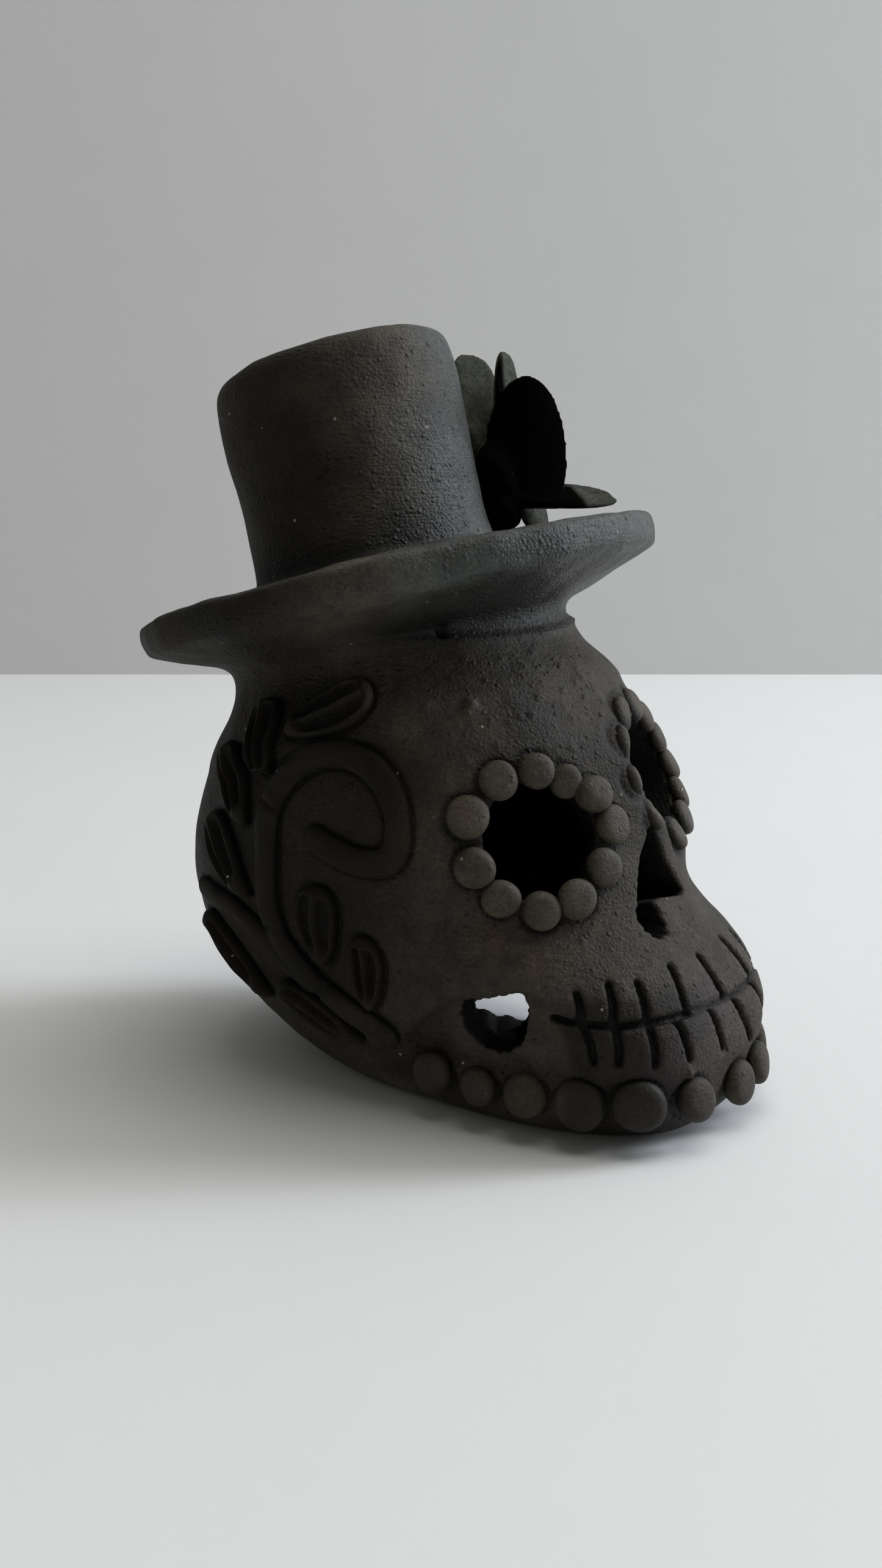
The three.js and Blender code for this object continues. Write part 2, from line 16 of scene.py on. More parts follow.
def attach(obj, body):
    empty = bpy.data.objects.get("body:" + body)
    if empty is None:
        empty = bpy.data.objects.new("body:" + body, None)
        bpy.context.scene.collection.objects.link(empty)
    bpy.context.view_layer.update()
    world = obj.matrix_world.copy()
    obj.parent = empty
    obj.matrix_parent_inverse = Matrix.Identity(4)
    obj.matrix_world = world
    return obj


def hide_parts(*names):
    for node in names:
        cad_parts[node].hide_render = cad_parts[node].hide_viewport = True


bl_info = {
    "name": "Smoked clay skull",
    "version": (1, 0, 0),
    "blender": (4, 5, 0),
    "location": "View3D > Sidebar > Clay skull",
    "description": "Builds a hand-made clay skull in a tall hat, with its laid-on ornament",
    "category": "Add Mesh",
}

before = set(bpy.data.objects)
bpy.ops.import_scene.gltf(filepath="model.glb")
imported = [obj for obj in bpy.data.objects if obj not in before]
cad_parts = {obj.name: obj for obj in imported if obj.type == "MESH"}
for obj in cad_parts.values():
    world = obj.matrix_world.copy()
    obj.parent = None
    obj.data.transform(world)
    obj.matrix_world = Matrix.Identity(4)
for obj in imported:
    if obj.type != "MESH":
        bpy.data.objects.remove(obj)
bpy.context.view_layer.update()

MM = 0.001
# The room that the clay is built in, a little larger than the figure
GRID_LOW, GRID_HIGH = (-49.0, -75.5, -2.0), (49.0, 47.5, 132.0)
# The neck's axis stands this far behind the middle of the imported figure
MOVE_BACK = 13.7
# Level direction from the shaded side towards the side the window lights, which the mask of smoke and painted
# shade leaves clearest
LIT_SIDE = (0.62, -0.78)

# Level sections of the head: height, reach to the front, to the back, half width, how square the
# front is and how much wider the back is than the front
HEAD_SECTIONS = np.array([
    [0, 62, 12, 20.5, 2.9, 0.05], [2, 66, 17, 23.6, 2.9, 0.06], [5, 68.4, 22.5, 25.6, 2.9, 0.08],
    [9, 69.8, 28.5, 27.3, 3.0, 0.1], [14, 70, 33.5, 29.5, 3.4, 0.13], [19, 69.2, 36.2, 31.2, 3.7, 0.15],
    [24, 66.8, 37.7, 32.6, 3.5, 0.16], [28, 64, 38.2, 33.6, 3.0, 0.16], [32, 60, 38.3, 34.6, 2.6, 0.15],
    [36, 56.8, 38, 35.3, 2.4, 0.14], [42, 54.3, 36.8, 36.2, 2.3, 0.11], [50, 50.8, 33.8, 36.3, 2.25, 0.08],
    [58, 47.2, 29.4, 35, 2.2, 0.05], [66, 43.4, 23.7, 31.5, 2.15, 0], [72, 39, 18.5, 26, 2.1, 0],
    [76, 33, 13, 20, 2, 0], [79, 22, 6, 12, 2, 0], [80, 9, -3, 4, 2, 0],
])
BACK_SQUARE = 2.1

# Hat: its own frame leans back from the head, and its outlines are pairs of radius and height
HAT_LEAN = math.radians(15)
HAT_ROLL = math.radians(-1.7)
HAT_SEAT = (0, 3.1, 85.7)
BRIM_SHIFT = (0.0, -2.6)
CROWN_SHIFT = (-0.6, 0.8)
NECK_OUTLINE = [(0, -26), (36.4, -26), (35.6, -23.6), (32.8, -20), (30.9, -16), (30.2, -12.3), (30.8, -9),
                (32.4, -6), (0, -4)]
BRIM_OUTLINE = [(0, -11), (26, -11.2), (31.5, -9.9), (36, -8.4), (41.5, -6.3), (44.6, -5.0), (45.4, -4.6),
                (45.9, -4.1), (46.4, -2.0), (46.3, 0.0), (46.0, 0.6), (45.3, 1.0), (43.8, 1.15), (40, 1.3),
                (34, 1.9), (26, 2.9), (0, 3)]
CROWN_OUTLINE = [(0, -3), (22.2, -3), (21.8, 3), (21.3, 7), (21.2, 14), (21.5, 22), (21.7, 30), (21.7, 34.4),
                 (21.5, 37.0), (20.9, 38.9), (19.6, 40.1), (17.4, 40.8), (9, 41.6), (0, 41.8)]
# Slope of the crown's top, up towards the lit side
CROWN_RISE = 0.04
HOLLOW_OUTLINE = [(0, -26), (24.5, -24), (24, -14), (19, -6), (16.2, 2), (16, 34), (13, 37.4), (0, 38.6)]

# Openings of the face: turn and height of the right eye, then the nose's outline across and up from
# its place, and a rough lobe below it as centre, half width, half height and depth
EYE_SEAT_RIGHT = (33.5, 49.0)
NOSE_SEAT = (0, 42)
NOSE_OUTLINE = [(1.7, 7.4), (-0.6, 4.4), (-2.9, 1.4), (-5.0, -2.2), (-6.5, -5.3), (-1.3, -5.3), (0.6, -5.2),
                (2.4, -5.6), (8.8, -6.4), (6.3, -2.6), (4.2, 0.6), (2.9, 4.4)]
NOSE_LOBES = [(-4.6, -7.7, 2.8, 3.5, 4.4)]
# Jaw opening: millimetres towards the face and up from its place on the cheek
JAW_HOLE_SEAT = (60.8, 20.8)
JAW_HOLE = [(-5.9, 1.8), (-8.0, 1.7), (-8.8, -0.8), (-8.6, -3.4), (-7.4, -5.2), (-5.4, -6.5), (-2.8, -7.2),
            (-0.6, -6.7), (1.5, -4.8), (2.6, -2.7), (3.1, 0.2), (3.4, 2.9), (2.7, 3.9), (2.0, 4.5),
            (0.5, 3.8), (-2.1, 2.9)]

# Incised lines, as turns and heights: the strokes above and below the mouth, and the mouth, which is
# deep up to a place near the middle and only scored from there on
UPPER_STROKES = [
    [(44.6, 26.7), (47.2, 22.4)], [(36.8, 27.9), (41.7, 22.3)], [(29.4, 27.8), (33.9, 22.4)],
    [(15.0, 28.8), (19.7, 22.4)], [(-0.6, 28.6), (-3.1, 22.4)], [(-18.7, 29.0), (-24.2, 22.6)],
    [(-31.0, 28.2), (-35.0, 22.4)], [(-39.5, 27.6), (-43.5, 22.3)],
]
LOWER_STROKES = [
    [(47.3, 22.2), (47.7, 15.8)], [(41.6, 22.1), (43.1, 15.7)], [(33.9, 22.3), (34.9, 15.5)],
    [(25.1, 21.7), (23.7, 15.5)], [(7.6, 21.1), (4.5, 14.8)], [(-7.9, 20.9), (-15.9, 13.6)],
    [(-22.8, 22.0), (-30.8, 15.4)], [(-37.6, 22.0), (-41.4, 15.6)],
]
MOUTH_LINE = [(52.8, 22.2), (47.5, 22.3), (41.6, 22.0), (37.9, 22.2), (33.8, 22.4), (28.8, 22.4),
              (24.4, 22.4), (19.8, 22.3), (12.5, 22.2), (3.0, 22.0), (-7.5, 21.9), (-19.8, 22.2), (-32, 22.3),
              (-44, 22.2), (-51, 22.2)]
MOUTH_PLACES = 57
DEEP_MOUTH_PLACES = 30

# The lower edge is broken away here, and a ledge of clay is left inside the base: middle and half
# sizes, then the level direction that the ledge's crest drops in
NOTCH_MIDDLE, NOTCH_HALF = (17.5, -10.2, 1.5), (8.5, 7.5, 7.8)
LEDGE_MIDDLE, LEDGE_HALF = (12.5, -14), (6.5, 8.5)
CREST_DROPS = (0.6233, -0.7822)

# Pit under the brim; crumbs that dried on the clay, as turns, heights and sizes
PIT = (-17.0, -22.8, 80.2)
LARGE_CRUMBS = [(45.5, 69.3, 1.1), (46.4, 68.4, 0.8), (44.4, 69.0, 0.7), (24.3, 13.1, 0.75)]

# Stained patches of the face: turn, height, reach and strength
RUST_SPOTS = [(50.8, 33.2, 3.4, 0.7), (48.4, 30.4, 2.2, 0.6), (24.8, 28.6, 1.2, 0.6), (45.5, 68.8, 1.4, 0.5),
              (-49, 32, 3, 0.5)]
VIOLET_SPOTS = [(48, 25.6, 2.6, 0.6), (37, 34.6, 1.8, 0.5), (70, 15, 6, 0.55), (58, 13, 5, 0.5),
                (30, 12, 7, 0.4), (0, 22, 6, 0.5), (-70, 15, 6, 0.5)]

# Pellets: turn, height, width and how far each stands out
EYE_PELLETS_RIGHT = [
    (40.3, 58.1, 6.4, 2.6), (30.1, 59.4, 6.0, 2.6), (22.4, 57.4, 5.6, 2.3), (16.6, 54.7, 6.3, 3.4),
    (13.4, 49.9, 6.6, 2.5), (20.2, 43.9, 6.4, 2.7), (30.4, 39.7, 6.6, 2.7), (39.5, 38.2, 6.3, 2.8),
    (46.8, 40.4, 6.3, 2.8), (50.2, 45.3, 6.7, 2.8), (49.2, 52.7, 7.0, 2.8),
]
# The left eye's ring lies in one plane on a raised socket: the way it faces, its half width and
# half height, and the angles of its pellets
LEFT_EYE_CENTRE = (11.9, -46.0, 55.3)
LEFT_EYE_FACES = (0.34, -0.835, 0.43)
LEFT_EYE_RING = (11.8, 11.8)
LEFT_EYE_PELLET = (6.3, 2.2)
LEFT_EYE_ANGLES = (44, 72, 108, 142, 176, 210, 253, 297, 325, 352, 18)
JAW_PELLETS_RIGHT = [
    (79.9, 8.4, 7.2, 2.8), (70.0, 8.0, 6.4, 2.8), (60.8, 8.3, 7.3, 2.9), (50.7, 8.0, 8.4, 3.0),
    (38.7, 8.8, 8.7, 3.2), (22.4, 8.4, 7.4, 2.9),
]
JAW_PELLET_MIDDLE = (-5.5, 7.6, 7.4, 2.8)

# Laid-on coils: the path of the stem with its curl, and of the side branch
VINE = [(84.5, 12.8), (89.5, 15.6), (95, 19), (99, 23.4), (101.6, 28.6), (101, 33), (99.4, 38.5),
        (98.6, 43), (98.6, 48), (97.4, 52.6), (95, 55.6), (91, 58.9), (85, 61.0), (77, 61.4), (69.6, 59.4),
        (65.2, 55.6), (64.2, 51.2), (65.8, 47.2), (69.2, 44.8), (75, 44.6), (81, 46.0), (87.5, 48.2)]
BRANCH = [(128, 33.2), (120, 32.4), (112, 31.0), (106.5, 27.6), (102, 23.4), (98, 19.6)]
VINE_CRACKS = (0.145, 0.27, 0.475)
# Widths of the scores beside stem and branch, and how many places go across the top of a coil
SCORED_WIDTHS = (4.7, 4.0)
COIL_ACROSS = 17

# Leaves: turn and height of the blunt end and of the tip, then the width; and how many places go
# across the top of a leaf
LEAF_ACROSS = 27
LEAVES = [
    (75.4, 70.4, 96.5, 62.6, 7.6), (111, 67.5, 100.5, 56.5, 6.6), (119, 59.4, 105.5, 47.2, 6.4),
    (121, 47.4, 106, 34.6, 7.4), (130, 27.5, 116, 14.8, 7.4), (85.5, 39.4, 93, 25.0, 7.4),
    (79, 31.9, 87, 18.2, 5.4), (109, 18.6, 94, 11.2, 6.0),
]

# Flower, in a frame of its own on the side of the crown: x towards the face, y up, z out of the
# crown. Each petal has its foot, its tip, the way its inner face looks, its width, how far up it is
# widest, how narrow its foot is and how far its face is cupped.
FLOWER_TURN = -57
FLOWER_HEIGHT = 15
FLOWER_OFF_AXIS = 21.6
PETALS = [
    ((-4.0, 5.0, 2.8), (-6.0, 23.2, 5.8), (0.92, 0.1, 0.35), 10.2, 0.7, 0.3, 0.25),
    ((-0.5, -1.0, 4.8), (-1.0, 21.6, 11.4), (0.72, -0.32, 0.62), 9.2, 0.56, 0.6, 0.16),
    ((3.4, -7.8, 6.8), (4.2, 15.6, 11.6), (-0.97, 0.05, 0.22), 15.8, 0.37, 0.8, 0.26),
    ((2.4, -5.4, 6.0), (1.8, -8.8, 25.4), (0.62, 0.74, 0.3), 8.6, 0.5, 0.7, 0.14),
    ((-2.6, -2.6, 8.2), (-6.0, -12.6, 13.0), (0.85, 0.1, 0.5), 8.4, 0.5, 0.8, 0.1),
]
# Lumps that hold the petals: centre and half sizes
FLOWER_LUMPS = [
    ((1.6, -2.0, 3.0), (3.6, 8.0, 4.6)),
    ((-3.4, 6.0, 2.0), (2.6, 5.2, 2.4)),
    ((1.8, -6.8, 2.4), (3.2, 4.8, 3.8)),
]

# Camera and room, in metres and radians: how far the camera is from the neck's axis, how far it is
# turned aside and down, the height and focal length of its picture in picture cells and the height
# of its sensor in millimetres; then how far the wall is behind, half the width of floor and wall and
# half the height of the wall
CAMERA_AWAY = 0.3
CAMERA_ASIDE = math.atan(-54.5 / 2135)
CAMERA_DOWN = math.radians(12.4)
PICTURE_HEIGHT, PICTURE_LENS = 2569, 2742
SENSOR_HEIGHT = 36
WALL_BEHIND = 0.452
BOARD_HALF = 3
WALL_HALF = 1.2
LIT_MIDDLE = (0, -0.012, 0.065)
# Lights: the way to each (right, away and up), distance, size, share of the power and colour
LIGHTS = [
    ("window_light", (0.84, 0.36, 0.42), 1.5, 1.0, 1.0, "EAF1FF"),
    ("ceiling_light", (0.25, 0.1, 1), 1.4, 1.4, 0.3, "FFFCF6"),
]


# Settings that a user would change

class ClaySkullBody(bpy.types.PropertyGroup):
    """Sizes and fired colours of the hollow body"""
    voxel: FloatProperty(name="Voxel", default=0.5, min=0.3, max=2,
                         description="Size of the cells the clay is built from, in millimetres")
    wall: FloatProperty(name="Wall", default=5.5, min=3, max=9,
                        description="Thickness of the clay wall, in millimetres")
    eye_radius: FloatProperty(name="Eye radius", default=9.4, min=5, max=10,
                              description="Radius of each eye opening, in millimetres")
    groove: FloatProperty(name="Groove radius", default=0.66, min=0.3, max=1.2,
                          description="Half width of the strokes between the teeth, in millimetres")
    lumps: FloatProperty(name="Lumps", default=0.34, min=0, max=1,
                         description="Height of the unevenness left by the hands, in millimetres")
    faces: IntProperty(name="Faces", default=185000, min=20000, max=195000,
                       description="Most triangles kept on the body")
    clay: StringProperty(name="Clay", description="Fired clay colour as sRGB hex", default="59544A")
    soot: StringProperty(name="Soot", description="Smoke-blackened colour as sRGB hex", default="28241C")


class ClaySkullTrim(bpy.types.PropertyGroup):
    """Sizes and colours of the laid-on ornament"""
    vine_width: FloatProperty(name="Vine width", default=4.7, min=2, max=7,
                              description="Width of the flattened coil, in millimetres")
    vine_height: FloatProperty(name="Vine height", default=1.7, min=0.5, max=4,
                               description="How far the coil stands out, in millimetres")
    leaf_height: FloatProperty(name="Leaf height", default=2.1, min=0.5, max=4,
                               description="How far a leaf stands out, in millimetres")
    petal: FloatProperty(name="Petal thickness", default=1.9, min=0.8, max=3,
                         description="Thickness of a petal at its foot, in millimetres")
    pellet_clay: StringProperty(name="Pellet clay", description="Colour of the handled clay as sRGB hex",
                                default="665E50")
    sprig_clay: StringProperty(name="Vine clay", description="Colour of vines and leaves as sRGB hex",
                               default="423C30")


class ClaySkullStage(bpy.types.PropertyGroup):
    """Floor, wall, light and camera"""
    floor: StringProperty(name="Floor", description="Colour of the floor as sRGB hex", default="DCDDDB")
    wall: StringProperty(name="Wall", description="Colour of the wall as sRGB hex", default="D8D8D7")
    window: FloatProperty(name="Window", description="Power of the window light", default=50, min=0,
                          unit="POWER")
    sky: FloatProperty(name="Sky", description="Strength of the light from all round", default=0.2, min=0)
    camera_turn: FloatProperty(name="Camera turn", description="Angle of the camera round the skull",
                               default=math.radians(-50), subtype="ANGLE")
    camera_height: FloatProperty(name="Camera height", description="Height of the camera over the floor",
                                 default=0.1145, subtype="DISTANCE", unit="LENGTH")


# Shapes in numbers

def smooth_column(column, heights):
    """A smooth curve through one column of the head's sections that never overshoots them"""
    xs = HEAD_SECTIONS[:, 0]
    ys = HEAD_SECTIONS[:, column]
    heights = np.clip(np.asarray(heights, float), xs[0], xs[-1])
    slope = np.diff(ys) / np.diff(xs)
    tangent = np.empty(len(xs))
    tangent[0], tangent[-1] = slope[0], slope[-1]
    product = slope[:-1] * slope[1:]
    total = slope[:-1] + slope[1:]
    tangent[1:-1] = np.where(product > 0, 2 * product / np.where(total == 0, 1, total), 0)
    i = np.clip(np.searchsorted(xs, heights, side="right") - 1, 0, len(xs) - 2)
    span = xs[i + 1] - xs[i]
    t = (heights - xs[i]) / span
    rise = t * t * (3 - 2 * t)
    bend = t * (1 - t) * (1 - t) * tangent[i] - t * t * (1 - t) * tangent[i + 1]
    return ys[i] * (1 - rise) + ys[i + 1] * rise + span * bend


def head_point(turn, height):
    """Places on the plain head at turns in degrees and heights"""
    turn = np.radians(np.asarray(turn, float))
    height = np.broadcast_to(np.asarray(height, float), turn.shape)
    front, back, half, square, taper = (smooth_column(c, height) for c in range(1, 6))
    cos, sin = np.cos(turn), np.sin(turn)
    power = np.where(cos > 0, square, BACK_SQUARE)
    k = (np.abs(cos) ** power + np.abs(sin) ** power) ** (-1 / power)
    x = -sin * k * half * (1 - taper * cos * k)
    y = (back - front) / 2 - cos * k * (back + front) / 2
    return np.stack([x, y, height], -1)


def hat_matrix():
    """The hat's frame in the potter's frame"""
    lean = Matrix.Rotation(-HAT_LEAN, 4, "X")
    roll = Matrix.Rotation(HAT_ROLL, 4, "Y")
    return Matrix.Translation(HAT_SEAT) @ roll @ lean


HAT = np.array(hat_matrix())
HAT_BACK = np.linalg.inv(HAT)


def smooth_min(a, b, k):
    """The smaller of two distances, blended where they come within k of each other"""
    h = np.clip(0.5 + 0.5 * (b - a) / k, 0, 1)
    return b + (a - b) * h - k * h * (1 - h)


def smooth_max(a, b, k):
    """The larger of two distances, blended in the same way"""
    return -smooth_min(-a, -b, k)


def step(x, low, high):
    """A soft step from 0 at low to 1 at high"""
    t = np.clip((x - low) / (high - low), 0, 1)
    return t * t * (3 - 2 * t)


def outline_distance(outline, across, up):
    """Signed distance to a closed outline, negative inside"""
    points = np.asarray(outline, float)
    best = np.full(np.broadcast(across, up).shape, 1e9)
    inside = np.zeros(best.shape, bool)
    for (x0, y0), (x1, y1) in zip(points, np.roll(points, -1, axis=0)):
        ex, ey = x1 - x0, y1 - y0
        t = np.clip(((across - x0) * ex + (up - y0) * ey) / (ex * ex + ey * ey + 1e-12), 0, 1)
        best = np.minimum(best, (across - x0 - t * ex) ** 2 + (up - y0 - t * ey) ** 2)
        if y0 != y1:
            inside ^= ((y0 > up) != (y1 > up)) & (across < ex * (up - y0) / ey + x0)
    return np.where(inside, -1, 1) * np.sqrt(best)


def rounded(outline, rounds=2):
    """An outline with its corners cut, its ends on the axis kept"""
    points = [np.array(p, float) for p in outline]
    for _ in range(rounds):
        cut = [points[0]]
        for a, b in zip(points[:-1], points[1:]):
            cut += [a * 0.75 + b * 0.25, a * 0.25 + b * 0.75]
        points = cut + [points[-1]]
    return np.array(points)


class Clay:
    """The clay as distances on a grid of cells, and the tools that work it"""

    def __init__(self, cell):
        self.cell = cell
        self.low = np.array(GRID_LOW)
        self.count = np.ceil((np.array(GRID_HIGH) - self.low) / cell).astype(int) + 1
        self.axes = [(self.low[i] + cell * np.arange(self.count[i])).astype(np.float32) for i in range(3)]
        self.x = self.axes[0][:, None, None]
        self.y = self.axes[1][None, :, None]
        self.z = self.axes[2][None, None, :]

    def unevenness(self, size, seed):
        """Smooth random heights between -1 and 1 whose bumps are about one size across"""
        rng = np.random.default_rng(seed)
        few = [int(math.ceil(n * self.cell / size)) + 2 for n in self.count]
        field = rng.uniform(-1, 1, few).astype(np.float32)
        for axis in range(3):
            place = np.arange(self.count[axis]) * self.cell / size
            i = place.astype(int)
            t = place - i
            t = (t * t * (3 - 2 * t)).astype(np.float32)
            shape = [1, 1, 1]
            shape[axis] = -1
            t = t.reshape(shape)
            field = np.take(field, i, axis) * (1 - t) + np.take(field, i + 1, axis) * t
        return field

    def head(self):
        """Distance to the plain head, and the angle from the middle of the face in degrees"""
        level = np.clip(self.z, 0, 79.9)
        front, back, half, square, taper = (smooth_column(c, level).astype(np.float32) for c in range(1, 6))
        v = (self.y - (back - front) / 2) / ((back + front) / 2)
        u = self.x / (half * (1 + taper * np.clip(v, -1.3, 1.3)))
        power = np.where(v < 0, square, np.float32(BACK_SQUARE))
        q = (np.abs(u) ** power + np.abs(v) ** power) ** (1 / power)
        slope = np.gradient(q, self.cell)
        steep = np.sqrt(slope[0] ** 2 + slope[1] ** 2 + slope[2] ** 2)
        distance = (q - 1) / np.clip(steep, 0.008, 1)
        side = np.degrees(np.abs(np.arctan2(-u, -v))).astype(np.float32)
        return distance, side

    def relief(self, side):
        """How far the modelled head stands out from the plain one"""
        def swell(at, level, wide, tall, rise):
            return rise * np.exp(-((side - at) / wide) ** 2 - ((self.z - level) / tall) ** 2)

        edge = 27.6 - 0.0119 * np.clip(side - 50, 0, None) ** 2
        below = step(edge - self.z, 0, 2.5)
        in_jaw = step(side, 47, 56) * step(88 - side, 0, 8)
        above = step(self.z, 9.5, 13)
        hollow = 2.6 * below * in_jaw * above
        return swell(56, 31, 20, 5, 0.9) + swell(28, 62, 14, 5, 0.3) + swell(53, 50, 9, 9, 1.2) - hollow

    def in_frame(self, inverse):
        """The grid's coordinates in another frame"""
        m = inverse.astype(np.float32)
        return [m[i, 0] * self.x + m[i, 1] * self.y + m[i, 2] * self.z + m[i, 3] for i in range(3)]

    def turned(self, outline, local, shift=(0.0, 0.0)):
        """A body turned round an upright axis of the hat"""
        across = np.sqrt((local[0] - shift[0]) ** 2 + (local[1] - shift[1]) ** 2)
        # the outline's distances are read from a table of radii and heights with fine steps
        fine = 0.25
        low, rows, columns = -34.0, 340, 320
        radii = np.arange(columns) * fine
        heights = low + np.arange(rows) * fine
        table = outline_distance(rounded(outline), radii[:, None], heights[None, :]).astype(np.float32)
        i = np.clip(across / fine, 0, columns - 1.01)
        j = np.clip((local[2] - low) / fine, 0, rows - 1.01)
        i0, j0 = i.astype(np.int32), j.astype(np.int32)
        i -= i0
        j -= j0
        near = table[i0, j0] * (1 - i) + table[i0 + 1, j0] * i
        far = table[i0, j0 + 1] * (1 - i) + table[i0 + 1, j0 + 1] * i
        return near * (1 - j) + far * j

    def part(self, centre, reach):
        """The slices of the grid within a reach of a place, and the coordinates there"""
        cut = []
        for i in range(3):
            first = int(np.clip((centre[i] - reach - self.low[i]) / self.cell, 0, self.count[i] - 2))
            last = int(np.clip((centre[i] + reach - self.low[i]) / self.cell + 1, first + 2, self.count[i]))
            cut.append(slice(first, last))
        x = self.axes[0][cut[0]][:, None, None]
        y = self.axes[1][cut[1]][None, :, None]
        z = self.axes[2][cut[2]][None, None, :]
        return tuple(cut), x, y, z

    def sample(self, field, points):
        """Distance and outward direction of a field at places"""
        p = (np.asarray(points, float) - self.low) / self.cell
        p = np.clip(p, 1.01, self.count - 3.01)

        def at(q):
            i = q.astype(int)
            t = q - i
            out = 0
            for a in (0, 1):
                for b in (0, 1):
                    for c in (0, 1):
                        w = (np.where(a, t[..., 0], 1 - t[..., 0]) * np.where(b, t[..., 1], 1 - t[..., 1])
                             * np.where(c, t[..., 2], 1 - t[..., 2]))
                        out = out + w * field[i[..., 0] + a, i[..., 1] + b, i[..., 2] + c]
            return out

        grad = np.stack([at(p + e) - at(p - e) for e in np.eye(3)], -1) / (2 * self.cell)
        grad /= np.linalg.norm(grad, axis=-1, keepdims=True) + 1e-9
        return at(p), grad

    def seat(self, field, points, lift=0.0):
        """Places moved straight onto a field, lifted off it, with the outward direction there"""
        points = np.array(points, float)
        for _ in range(6):
            distance, out = self.sample(field, points)
            points += out * (np.asarray(lift) - distance)[..., None] * 0.9
        return points, out


def upright_axes(out):
    """The level direction across an outward one, and the direction up along the surface"""
    across = np.cross([0, 0, 1], out)
    across /= np.linalg.norm(across)
    return across, np.cross(out, across)


def seat_axes(clay, plain, turn, height):
    """Origin, across, up and outward direction at a place on the head"""
    origin, out = clay.seat(plain, head_point([turn], [height]))
    return origin[0], *upright_axes(out[0]), out[0]


def carve_line(clay, field, plain, places, radius, depth, k=0.25):
    """A groove along places on the clay, with rounded ends"""
    on_clay, out = clay.seat(plain, head_point([p[0] for p in places], [p[1] for p in places]))
    for a, b, n in zip(on_clay[:-1], on_clay[1:], out[:-1]):
        middle = (a + b) / 2
        cut, x, y, z = clay.part(middle, np.linalg.norm(b - a) / 2 + 3)
        hollow = None
        for below, width in ((-0.3, 1.25), (0.35 * depth, 1.0), (0.75 * depth, 0.72), (depth, 0.5)):
            p, q = a - n * below, b - n * below
            e = q - p
            t = ((x - p[0]) * e[0] + (y - p[1]) * e[1] + (z - p[2]) * e[2]) / (e @ e)
            t = np.clip(t, 0, 1)
            away = np.sqrt((x - p[0] - t * e[0]) ** 2 + (y - p[1] - t * e[1]) ** 2
                           + (z - p[2] - t * e[2]) ** 2) - radius * width
            hollow = away if hollow is None else np.minimum(hollow, away)
        field[cut] = smooth_max(field[cut], -hollow, k)


def local_of(origin, across, up, out, x, y, z):
    """Grid coordinates as lengths across, up and out from an origin"""
    dx, dy, dz = x - origin[0], y - origin[1], z - origin[2]
    return [dx * axis[0] + dy * axis[1] + dz * axis[2] for axis in (across, up, out)]


def left_eye_axes():
    """Centre, across, up and facing direction of the left eye's raised socket"""
    out = np.array(LEFT_EYE_FACES) / np.linalg.norm(LEFT_EYE_FACES)
    return np.array(LEFT_EYE_CENTRE), *upright_axes(out), out


def press_line(clay, field, path, radius):
    """A rounded score along places in space"""
    for a, b in zip(path[:-1], path[1:]):
        cut, x, y, z = clay.part((a + b) / 2, np.linalg.norm(b - a) / 2 + radius + 2 * clay.cell)
        e = b - a
        t = np.clip(((x - a[0]) * e[0] + (y - a[1]) * e[1] + (z - a[2]) * e[2]) / (e @ e + 1e-9), 0, 1)
        away = np.sqrt((x - a[0] - t * e[0]) ** 2 + (y - a[1] - t * e[1]) ** 2 + (z - a[2] - t * e[2]) ** 2)
        field[cut] = smooth_max(field[cut], radius - away, 0.25)


def edges_of_ornament(clay, plain):
    """Lines on the clay along the edges of all that is pressed on: places and half width of the score"""
    lines = []

    def beside(edge, middle, out_by):
        away = edge - middle
        away /= np.linalg.norm(away, axis=1, keepdims=True) + 1e-9
        return clay.seat(plain, edge + away * out_by)[0]

    for side in (1, -1):
        for leaf in LEAVES:
            rings = leaf_rings(clay, plain, leaf, side, 1.0, 1)
            middle = rings[:, LEAF_ACROSS // 2]
            loop = np.concatenate([rings[:, 0], rings[::-1, LEAF_ACROSS - 1], rings[:1, 0]])
            centre = np.concatenate([middle, middle[::-1], middle[:1]])
            lines.append((beside(loop, centre, 0.15), 0.42))
        for places, width, rows in zip((VINE, BRANCH), SCORED_WIDTHS, (160, 50)):
            rings = coil_rings(clay, plain, places, side, width, 1.0, rows, 1)
            for column in (0, COIL_ACROSS - 1):
                lines.append((beside(rings[:, column], rings[:, COIL_ACROSS // 2], 0.1), 0.38))
    round_ = np.linspace(0, 2 * np.pi, 21)
    for seats in all_seats(clay, plain):
        for seat, width, _ in seats:
            _, out = clay.seat(plain, [seat])
            across, up = upright_axes(out[0])
            ring = seat + (width / 2 + 0.15) * (
                np.outer(np.cos(round_), across) + np.outer(np.sin(round_), up))
            lines.append((clay.seat(plain, ring)[0], 0.42))
    return lines


def raise_left_socket(clay, outside):
    """The left eye's socket stands out of the head in one plane, with the brow beyond it cut back"""
    centre, across, up, out = left_eye_axes()
    cut, x, y, z = clay.part(centre, 24)
    a, b, c = local_of(centre, across, up, out, x, y, z)
    round_ = np.sqrt(a ** 2 + b ** 2)
    mound = smooth_max((round_ - 13.8 - 1.1 * np.clip(-c, 0, 12)) * 0.67, c + 0.1, 1.2)
    mound = np.maximum(mound, -c - 9)
    beyond = np.maximum(np.maximum(round_ - 15.2, 0.1 - c), 2 - a)
    outside[cut] = smooth_max(outside[cut], -beyond, 1.2)
    outside[cut] = smooth_min(outside[cut], mound, 2.6)


